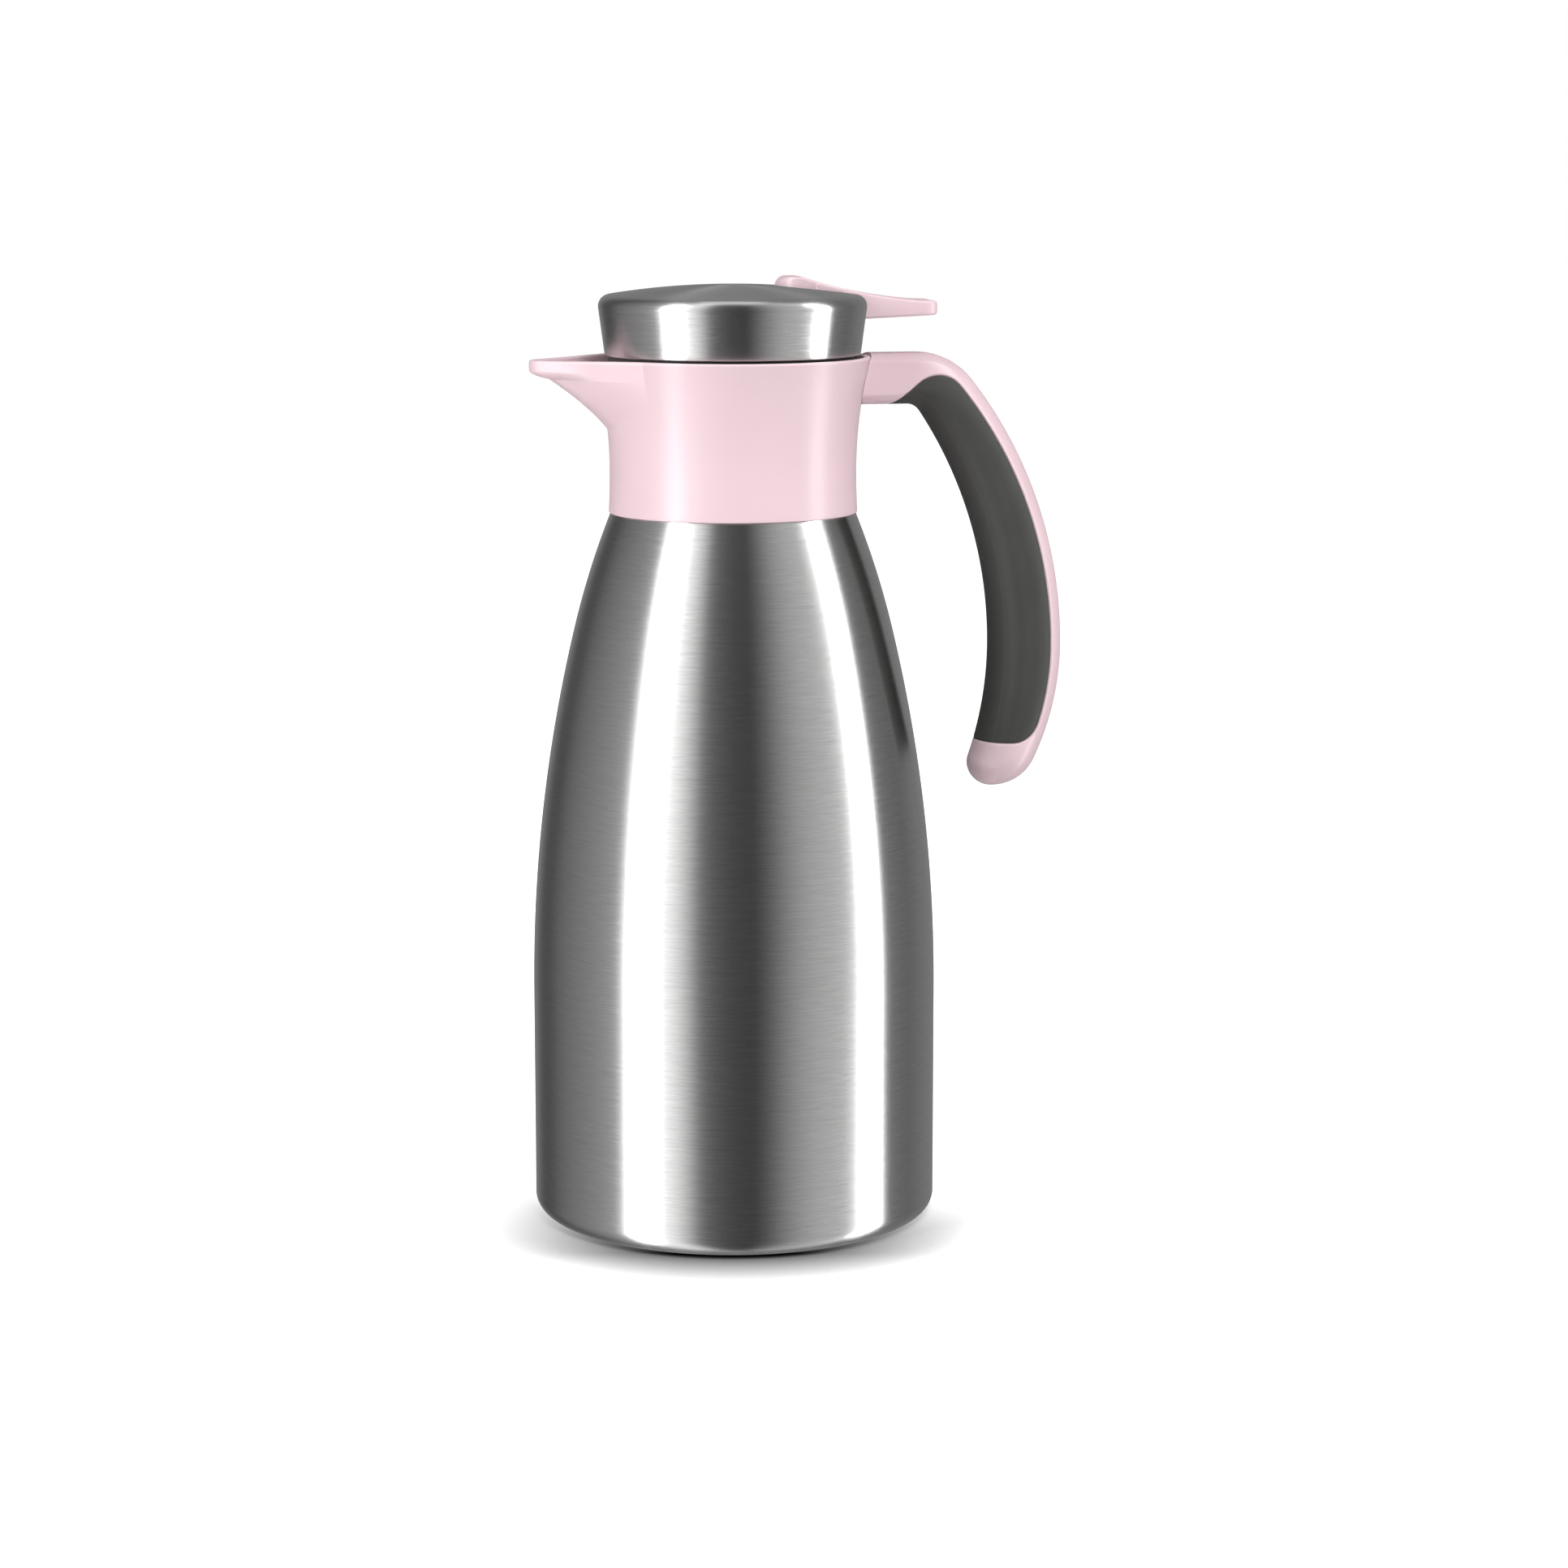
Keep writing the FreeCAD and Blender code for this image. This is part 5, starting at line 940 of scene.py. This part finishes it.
def spring_grid(wire):
    """Round wire carried along a coil: a circle in the axis's plane at each angle, closed at both ends."""
    turns, radius, foot, top = 8, 5.5, 202.65, 230.95
    turn = np.linspace(0.0, 2.0 * np.pi * turns, turns * 44 + 1)[:, None]
    z = foot + (top - foot - 1.0) * turn / turn[-1] + 0.5
    side = np.linspace(0.0, 2.0 * np.pi, 15)[None]
    size = np.concatenate([[[0.0]], np.full_like(turn, wire), [[0.0]]])
    turn, z = (np.concatenate([line[:1], line, line[-1:]]) for line in (turn, z))
    r = radius + size * np.cos(side)
    grid = np.stack([r * np.cos(turn), r * np.sin(turn), z + size * np.sin(side)], -1)
    return grid, np.stack([turn + 0.0 * side, side + 0.0 * turn], -1)


# ---------------------------------------------------------------- finishes


class Signal:
    """A shader socket that Python sums can use; each sum adds a Math node beside it."""

    def __init__(self, nodes, socket):
        self.nodes = nodes
        self.socket = socket

    def sum(self, operation, first, second):
        """One Math node on two values."""
        return self.nodes.node("ShaderNodeMath", {"operation": operation}, {0: first, 1: second})

    def __add__(self, other):
        return self.sum("ADD", self, other)

    def __radd__(self, other):
        return self.sum("ADD", other, self)

    def __sub__(self, other):
        return self.sum("SUBTRACT", self, other)

    def __rsub__(self, other):
        return self.sum("SUBTRACT", other, self)

    def __mul__(self, other):
        return self.sum("MULTIPLY", self, other)

    def __rmul__(self, other):
        return self.sum("MULTIPLY", other, self)

    def __pow__(self, other):
        return self.sum("POWER", self, other)


def socket_name(key):
    """Name of a shader socket from a keyword, such as Base Color from base_color."""
    return key.replace("_", " ").title().replace("Ior", "IOR")


class Nodes:
    """The shader nodes of a material or a world, from an empty tree."""

    def __init__(self, owner):
        owner.use_nodes = True
        self.tree = owner.node_tree
        self.tree.nodes.clear()

    def node(self, kind, settings=None, inputs=None, output=0):
        """A node of a type: its settings first, then the values or links of its sockets; gives one output."""
        made = self.tree.nodes.new(kind)
        for key, value in (settings or {}).items():
            if key == "stops":
                elements = made.color_ramp.elements
                elements.remove(elements[0])
                elements[0].position, elements[0].color = value[0]
                for place, colour in value[1:]:
                    elements.new(place).color = colour
            else:
                setattr(made, key, value)
        for key, value in (inputs or {}).items():
            if isinstance(value, Signal):
                self.tree.links.new(value.socket, made.inputs[key])
            else:
                made.inputs[key].default_value = value
        return Signal(self, made.outputs[output]) if len(made.outputs) else None


class Finish(Nodes):
    """A material under way: one principled shader and the nodes that feed it."""

    def __init__(self, name, **fixed):
        self.material = bpy.data.materials.new(name)
        super().__init__(self.material)
        self.shader = self.tree.nodes.new("ShaderNodeBsdfPrincipled")
        end = self.tree.nodes.new("ShaderNodeOutputMaterial")
        self.tree.links.new(self.shader.outputs[0], end.inputs["Surface"])
        for key, value in fixed.items():
            self.shader.inputs[socket_name(key)].default_value = value

    def place(self):
        """Object coordinates, in metres."""
        return self.node("ShaderNodeTexCoord", output="Object")

    def parts(self, vector):
        """The three numbers of a vector."""
        split = self.node("ShaderNodeSeparateXYZ", inputs={0: vector})
        return [Signal(self, socket) for socket in split.socket.node.outputs]

    def vector(self, x, y, z):
        """A vector of three numbers."""
        return self.node("ShaderNodeCombineXYZ", inputs={0: x, 1: y, 2: z})

    def noise(self, vector, scale, detail=2.0, rough=0.5):
        """Noise from 0 to 1 about a half."""
        inputs = {"Vector": vector, "Scale": scale, "Detail": detail, "Roughness": rough}
        return self.node("ShaderNodeTexNoise", inputs=inputs)

    def mix(self, share, first, second):
        """One colour turning into another."""
        return self.node("ShaderNodeMix", {"data_type": "RGBA"}, {0: share, 6: first, 7: second}, output=2)

    def limits(self, value, low, high):
        """A value's range from low to high spread over 0 to 1."""
        return self.node("ShaderNodeMapRange", {"clamp": True}, {0: value, 1: low, 2: high})

    def bump(self, height, strength, distance):
        """Normal of a relief."""
        inputs = {"Strength": strength, "Distance": distance, "Height": height}
        return self.node("ShaderNodeBump", inputs=inputs)

    def feed(self, **signals):
        """Link signals to the shader and give the finished material."""
        for key, signal in signals.items():
            self.tree.links.new(signal.socket, self.shader.inputs[socket_name(key)])
        return self.material


def shade(colour, level):
    """A colour made lighter or darker, with full alpha."""
    return tuple(min(1.0, part * level) for part in colour) + (1.0,)


def brushed_steel(name, colour, fine=1.0):
    """Steel brushed round the axis: streaks in colour, gloss and relief that run round it."""
    steel = Finish(name, metallic=1.0, anisotropic=0.9, anisotropic_rotation=0.25)
    x, y, z = steel.parts(steel.place())
    lay = z - (x * x + y * y) ** 0.5
    streak = steel.vector(x * 140.0, y * 140.0, lay * (3400.0 * fine))
    broad = steel.vector(x * 30.0, y * 30.0, lay * (900.0 * fine))
    lines = steel.noise(streak, 1.0, detail=3.0, rough=0.75) * 0.85 + steel.noise(broad, 1.0) * 0.15
    tone = steel.mix(steel.limits(lines, 0.3, 0.7), shade(colour, 0.88), shade(colour, 1.07))
    relief = steel.bump(lines, strength=0.03, distance=0.00005)
    return steel.feed(base_color=tone, roughness=0.22 + lines * 0.06, normal=relief)


def satin_plastic(name, colour):
    """Moulded plastic: faint cloudy tone, fine grain in the relief and a satin gloss that varies a little."""
    plastic = Finish(name, ior=1.5, specular_ior_level=0.8)
    place = plastic.place()
    cloud = plastic.noise(place, 38.0, detail=3.0)
    grain = plastic.noise(place, 2600.0, rough=0.6)
    tone = plastic.mix(plastic.limits(cloud, 0.25, 0.75), shade(colour, 0.975), shade(colour, 1.015))
    gloss = 0.27 + cloud * 0.06 + grain * 0.06
    relief = plastic.bump(grain, strength=0.05, distance=0.00006)
    return plastic.feed(base_color=tone, roughness=gloss, normal=relief)


def soft_rubber(name, colour):
    """Soft grip: matt fine grain, a slightly lighter bloom, and a faint mould ridge beside the finger side,
    with a painted highlight along it.
    """
    rubber = Finish(name, ior=1.48, specular_ior_level=0.5)
    place = rubber.place()
    cloud = rubber.noise(place, 60.0, detail=3.0)
    grain = rubber.noise(place, 3400.0, rough=0.6)
    edge, _, _ = rubber.parts(rubber.node("ShaderNodeUVMap", {"uv_map": "surface"}))
    # Mask of the mould ridge: it raises the ridge in the relief and places a painted highlight in the colour.
    away = rubber.node("ShaderNodeMath", {"operation": "ABSOLUTE"}, {0: edge - MOULD_RIDGE_HIGHLIGHT / GRIP_SPAN})
    line = 1.0 - rubber.limits(away, 0.0, MOULD_RIDGE_HIGHLIGHT_WIDTH / GRIP_SPAN)
    plain = rubber.mix(rubber.limits(cloud, 0.25, 0.75), shade(colour, 0.92), shade(colour, 1.07))
    # Painted highlight: along the ridge the tone is drawn part way towards a much lighter grey.
    tone = rubber.mix(line * 0.35, plain, shade(colour, 1.7))
    gloss = 0.5 + cloud * 0.1 + grain * 0.06
    relief = rubber.bump(grain * 0.25 + line * 0.8, strength=0.12, distance=0.0001)
    return rubber.feed(base_color=tone, roughness=gloss, normal=relief)


def plain_metal(name, colour, rough, size):
    """Plain metal: a cloudy tone and uneven gloss at the size of its grain."""
    metal = Finish(name, metallic=1.0)
    cloud = metal.noise(metal.place(), size, detail=4.0, rough=0.6)
    tone = metal.mix(cloud, shade(colour, 0.86), shade(colour, 1.08))
    relief = metal.bump(cloud, strength=0.08, distance=0.00005)
    return metal.feed(base_color=tone, roughness=rough + cloud * 0.16, normal=relief)


def matt_polymer(name, colour, rough):
    """Hidden plastic or silicone: cloudy tone, fine grain and a matt surface."""
    polymer = Finish(name, specular_ior_level=0.4)
    place = polymer.place()
    cloud = polymer.noise(place, 55.0, detail=3.0)
    grain = polymer.noise(place, 1900.0)
    tone = polymer.mix(cloud, shade(colour, 0.88), shade(colour, 1.1))
    relief = polymer.bump(grain, strength=0.08, distance=0.00006)
    return polymer.feed(base_color=tone, roughness=rough + grain * 0.12, normal=relief)


# ---------------------------------------------------------------- operators


class CARAFE_OT_body(Operator):
    """Outer steel body: one closed profile carried round the axis."""

    bl_idname = "carafe.body"
    bl_label = "Steel body"

    def execute(self, context):
        sizes, colours = context.scene.carafe.sizes, context.scene.carafe.colours
        profile = body_profile(sizes.body_radius / MM, sizes.body_wall / MM)
        body = make_piece("body_shell", [turned(profile, sizes.round_steps)], crease=40.0)
        settle(body, "jug", "outer_shell", brushed_steel("body_steel", colours.steel))
        return {"FINISHED"}


class CARAFE_OT_collar(Operator):
    """Collar with its spout and trough: one closed section at each angle round the axis."""

    bl_idname = "carafe.collar"
    bl_label = "Collar and spout"

    def execute(self, context):
        sizes, colours = context.scene.carafe.sizes, context.scene.carafe.colours
        grid = collar_grid(sizes.spout_reach / MM, sizes.trough_wall / MM, sizes.rim_round / MM)
        collar = make_piece("pour_collar", [grid], crease=50.0)
        settle(collar, "jug", "collar", satin_plastic("collar_pink", colours.pink))
        return {"FINISHED"}


def handle_sizes(sizes):
    """Half the handle's width, and depth and width of its groove, in mm."""
    return sizes.handle_width / MM / 2.0, sizes.groove_depth / MM, sizes.groove_width / MM


class CARAFE_OT_handle(Operator):
    """Hook handle: the frame's arm, spine and tip, with the bed under the grip."""

    bl_idname = "carafe.handle"
    bl_label = "Handle frame"

    def execute(self, context):
        sizes, colours = context.scene.carafe.sizes, context.scene.carafe.colours
        grids = frame_grids(*handle_sizes(sizes))
        handle = make_piece("hook_frame", grids, crease=60.0)
        settle(handle, "jug", "handle_frame", satin_plastic("handle_pink", colours.pink))
        handle.visible_glossy = False
        return {"FINISHED"}


class CARAFE_OT_grip(Operator):
    """Soft grip over the handle's sides and finger side, rolled down at its edges."""

    bl_idname = "carafe.grip"
    bl_label = "Soft grip"

    def execute(self, context):
        sizes, colours = context.scene.carafe.sizes, context.scene.carafe.colours
        grids = grip_grids(*handle_sizes(sizes))
        grip = make_piece("grip_skin", grids)
        settle(grip, "jug", "soft_grip", soft_rubber("grip_rubber", colours.grip))
        return {"FINISHED"}


class CARAFE_OT_cap(Operator):
    """Steel cap of the closure, open where the lever lies."""

    bl_idname = "carafe.cap"
    bl_label = "Steel cap"

    def execute(self, context):
        sizes, colours = context.scene.carafe.sizes, context.scene.carafe.colours
        cap = make_piece("closure_cap", cap_grids(sizes.lid_edge / MM, sizes.round_steps))
        thicken(cap, sizes.lid_wall)
        settle(cap, "closure", "lid_cap", brushed_steel("cap_steel", colours.steel, 1.2))
        return {"FINISHED"}


class CARAFE_OT_lever(Operator):
    """Thumb lever with its fork."""

    bl_idname = "carafe.lever"
    bl_label = "Thumb lever"

    def execute(self, context):
        sizes, colours = context.scene.carafe.sizes, context.scene.carafe.colours
        grids = lever_grids(sizes.lever_half_width / MM, sizes.lever_dish / MM)
        lever = make_piece("press_lever", grids, crease=50.0)
        settle(lever, "lever", "thumb_lever", satin_plastic("lever_pink", colours.pink))
        lever.visible_glossy = False
        return {"FINISHED"}


class CARAFE_OT_spring(Operator):
    """Valve spring, which the valve squeezes as it lifts; this coil keeps one shape and rides on the closure.
    """

    bl_idname = "carafe.spring"
    bl_label = "Valve spring"

    def execute(self, context):
        sizes = context.scene.carafe.sizes
        spring = make_piece("coil_spring", [spring_grid(sizes.spring_wire / MM)])
        wire = plain_metal("spring_wire", (0.6, 0.6, 0.61), 0.24, 900.0)
        settle(spring, "closure", "valve_spring", wire)
        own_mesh(spring)
        return {"FINISHED"}


class CARAFE_OT_inside(Operator):
    """Finishes of the pieces that keep their CAD shape."""

    bl_idname = "carafe.inside"
    bl_label = "Inner pieces"

    def execute(self, context):
        colours = context.scene.carafe.colours
        steel = brushed_steel("base_steel", colours.steel)
        vessel = plain_metal("vessel_steel", (0.68, 0.68, 0.68), 0.3, 120.0)
        plastic = matt_polymer("closure_plastic", colours.inside, 0.5)
        rings = matt_polymer("seal_silicone", colours.seal, 0.55)
        screws = plain_metal("screw_steel", (0.62, 0.62, 0.63), 0.26, 1400.0)
        solder = plain_metal("solder_plug", (0.55, 0.55, 0.57), 0.5, 500.0)
        pellet = plain_metal("getter_pellet", (0.4, 0.4, 0.42), 0.6, 2200.0)
        groups = (
            (steel, ("base_plate",)),
            (vessel, ("inner_liner", "shell_bottom")),
            (plastic, ("neck_sleeve", "stopper_body", "stopper_seat", "lid_liner", "valve_disc")),
            (rings, ("neck_gasket", "neck_seal", "valve_seal", "stem_seal")),
            (screws, ("handle_screws", "liner_screws", "lever_pin", "valve_stem", "valve_screw")),
            (solder, ("vacuum_seal",)),
            (pellet, ("getter",)),
        )
        for finish, names in groups:
            for name in names:
                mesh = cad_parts[name].data
                mesh.materials.clear()
                mesh.materials.append(finish)
        return {"FINISHED"}


def lit_floor(level, front):
    """White floor with a little glow for the camera.

    Its shadow is deepest close to what stands on it, at the front.
    """
    floor = Finish("floor_white", roughness=1.0, specular_ior_level=0.0, emission_strength=level)
    near = floor.node("ShaderNodeAmbientOcclusion", inputs={"Distance": 0.035}, output="AO")
    inputs = {0: floor.place(), 1: front}
    ahead = floor.node("ShaderNodeVectorMath", {"operation": "DOT_PRODUCT"}, inputs, output="Value")
    clear = 1.0 - floor.limits(ahead, -0.03, 0.05) * (1.0 - near**3.6)
    seen = floor.node("ShaderNodeLightPath", output="Is Camera Ray")
    dark, white = shade(WHITE, 0.0), shade(WHITE, 0.96)
    base, glow = floor.mix(clear, dark, white), floor.mix(clear * seen, dark, white)
    return floor.feed(base_color=base, emission_color=glow)


# Brightness of the panels at bearings from the camera, in degrees.
SURROUND = (
    (-180, 0.24), (-160, 0.22), (-142, 0.09), (-130, 0.09), (-115, 0.17), (-100, 0.23), (-88, 0.28),
    (-77, 0.34), (-69, 0.4), (-64, 1.16), (-36, 1.16), (-27, 0.66), (-19, 0.2), (-12, 0.12),
    (0, 0.075), (13, 0.055), (22, 0.14), (31, 0.27), (40, 0.39), (49, 0.48), (66, 0.57),
    (71, 0.64), (77, 1.02), (88, 0.94), (95, 0.2), (119, 0.15), (138, 0.2), (180, 0.24),
)
BRIGHTEST = max(level for angle, level in SURROUND)


def surround_glow():
    """Soft boxes and dark flags round the object: brightness by direction, from a ramp on the share round."""
    material = bpy.data.materials.new("studio_panels")
    panels = Nodes(material)
    place = panels.node("ShaderNodeUVMap", {"uv_map": "surface"})
    share = panels.node("ShaderNodeSeparateXYZ", inputs={0: place})
    stops = [((angle + 180.0) / 360.0, shade(WHITE, level / BRIGHTEST)) for angle, level in SURROUND]
    level = panels.node("ShaderNodeValToRGB", {"stops": stops}, {0: share})
    glow = panels.node("ShaderNodeEmission", inputs={"Color": level, "Strength": BRIGHTEST})
    panels.node("ShaderNodeOutputMaterial", inputs={"Surface": glow})
    return material


def room_light(level):
    """World that lights from all round, and that the camera, mirrors and clear pieces see as white."""
    world = bpy.data.worlds.new("room")
    room = Nodes(world)
    kinds = ("Is Camera Ray", "Is Glossy Ray", "Is Transmission Ray")
    rays = [room.node("ShaderNodeLightPath", output=kind) for kind in kinds]
    seen = rays[0].sum("MAXIMUM", rays[0], rays[1])
    seen = seen.sum("MAXIMUM", seen, rays[2])
    inputs = [{"Color": shade(WHITE, 1.0), "Strength": strength} for strength in (level, 1.0)]
    light, white = (room.node("ShaderNodeBackground", inputs=values) for values in inputs)
    choose = room.node("ShaderNodeMixShader", inputs={0: seen, 1: light, 2: white})
    room.node("ShaderNodeOutputWorld", inputs={"Surface": choose})
    return world


def floor_grid():
    """Level square under the object."""
    spread = np.linspace(-FLOOR_HALF, FLOOR_HALF, 9)
    x, y = np.meshgrid(spread, spread)
    return np.stack([x, y, 0.0 * x], -1), np.stack([x, y], -1)


def panel_grid(turn):
    """Upright drum round the object: (R sin b, -R cos b, h) at a bearing b from the camera."""
    angle = np.linspace(-180.0, 180.0, 181)[None]
    bearing = np.radians(angle) + turn
    height = np.linspace(PANEL_FOOT, PANEL_TOP, 5)[:, None]
    x, y = PANEL_DISTANCE * np.sin(bearing), -PANEL_DISTANCE * np.cos(bearing)
    wall = np.stack([x + 0.0 * height, y + 0.0 * height, height + 0.0 * x], -1)
    return wall, np.stack([(angle + 180.0) / 360.0 + 0.0 * height, height + 0.0 * angle], -1)


def soft_lamp(name, bearing, rise, size, power, turn):
    """Soft box at a bearing from the camera and a rise above the middle of the object, facing it."""
    lamp = bpy.data.lights.new(name, "AREA")
    lamp.shape = "RECTANGLE"
    lamp.size, lamp.size_y = size
    lamp.energy = power
    box = bpy.data.objects.new(name, lamp)
    angle, lift = math.radians(bearing) + turn, math.radians(rise)
    level = LAMP_DISTANCE * math.cos(lift)
    height = LAMP_AIM + LAMP_DISTANCE * math.sin(lift)
    box.location = (level * math.sin(angle), -level * math.cos(angle), height)
    box.rotation_euler = (math.radians(90.0) - lift, 0.0, angle)
    bpy.context.scene.collection.objects.link(box)
    return box


class CARAFE_OT_stage(Operator):
    """Camera, pale floor, panels that the steel mirrors, soft lamps and room light."""

    bl_idname = "carafe.stage"
    bl_label = "Studio"

    def execute(self, context):
        scene, studio = context.scene, context.scene.carafe.studio
        lens = bpy.data.cameras.new("view")
        lens.sensor_width = 36.0
        lens.lens = 90.0
        camera = bpy.data.objects.new("view", lens)
        scene.collection.objects.link(camera)
        away = np.array([math.sin(studio.turn), -math.cos(studio.turn), 0.0])
        right = np.array([math.cos(studio.turn), math.sin(studio.turn), 0.0])
        lift = np.array([0.0, 0.0, studio.height])
        camera.location = tuple(away * studio.distance + right * studio.aside + lift)
        camera.rotation_euler = (math.radians(90.0) - studio.tilt, 0.0, studio.turn)
        scene.camera = camera

        floor = make_piece("floor", [floor_grid()])
        floor.data.materials.append(lit_floor(FLOOR_GLOW, tuple(away)))
        floor.visible_glossy = False

        panels = make_piece("panels", [panel_grid(studio.turn)])
        panels.data.materials.append(surround_glow())
        for ray in ("camera", "diffuse", "shadow", "transmission"):
            setattr(panels, "visible_" + ray, False)

        soft_lamp("left_lamp", -53.0, 0.0, (0.4, 3.2), studio.left, studio.turn)
        soft_lamp("right_lamp", 85.0, 0.0, (0.37, 3.2), studio.right, studio.turn)
        top = soft_lamp("top_lamp", 30.0, 60.0, (0.6, 0.6), studio.top, studio.turn)
        top.visible_glossy = False

        scene.world = room_light(studio.room)
        scene.view_settings.view_transform = "Standard"
        return {"FINISHED"}


class CARAFE_PT_pieces(Panel):
    """Pieces and settings of the carafe."""

    bl_idname = "CARAFE_PT_pieces"
    bl_label = "Thermal carafe"
    bl_space_type = "VIEW_3D"
    bl_region_type = "UI"
    bl_category = "Carafe"

    def draw(self, context):
        settings = context.scene.carafe
        for operator in OPERATORS:
            self.layout.operator(operator.bl_idname)
        for group in (settings.sizes, settings.colours, settings.studio):
            box = self.layout.box()
            for name in group.__annotations__:
                box.prop(group, name)


OPERATORS = (
    CARAFE_OT_stage,
    CARAFE_OT_body,
    CARAFE_OT_collar,
    CARAFE_OT_handle,
    CARAFE_OT_grip,
    CARAFE_OT_cap,
    CARAFE_OT_lever,
    CARAFE_OT_spring,
    CARAFE_OT_inside,
)
CLASSES = (CarafeSizes, CarafeColours, CarafeStudio, CarafeSettings) + OPERATORS + (CARAFE_PT_pieces,)


def register():
    """Make the classes known to Blender, and hang the settings on the scene."""
    for kind in CLASSES:
        bpy.utils.register_class(kind)
    bpy.types.Scene.carafe = PointerProperty(type=CarafeSettings)


def unregister():
    """Undo register, last class first."""
    del bpy.types.Scene.carafe
    for kind in reversed(CLASSES):
        bpy.utils.unregister_class(kind)


def main():
    """Build the stage and the pieces."""
    register()
    bpy.ops.carafe.stage()
    bpy.ops.carafe.body()
    bpy.ops.carafe.collar()
    bpy.ops.carafe.handle()
    bpy.ops.carafe.grip()
    bpy.ops.carafe.cap()
    bpy.ops.carafe.lever()
    bpy.ops.carafe.spring()
    bpy.ops.carafe.inside()


if __name__ == "__main__":
    main()
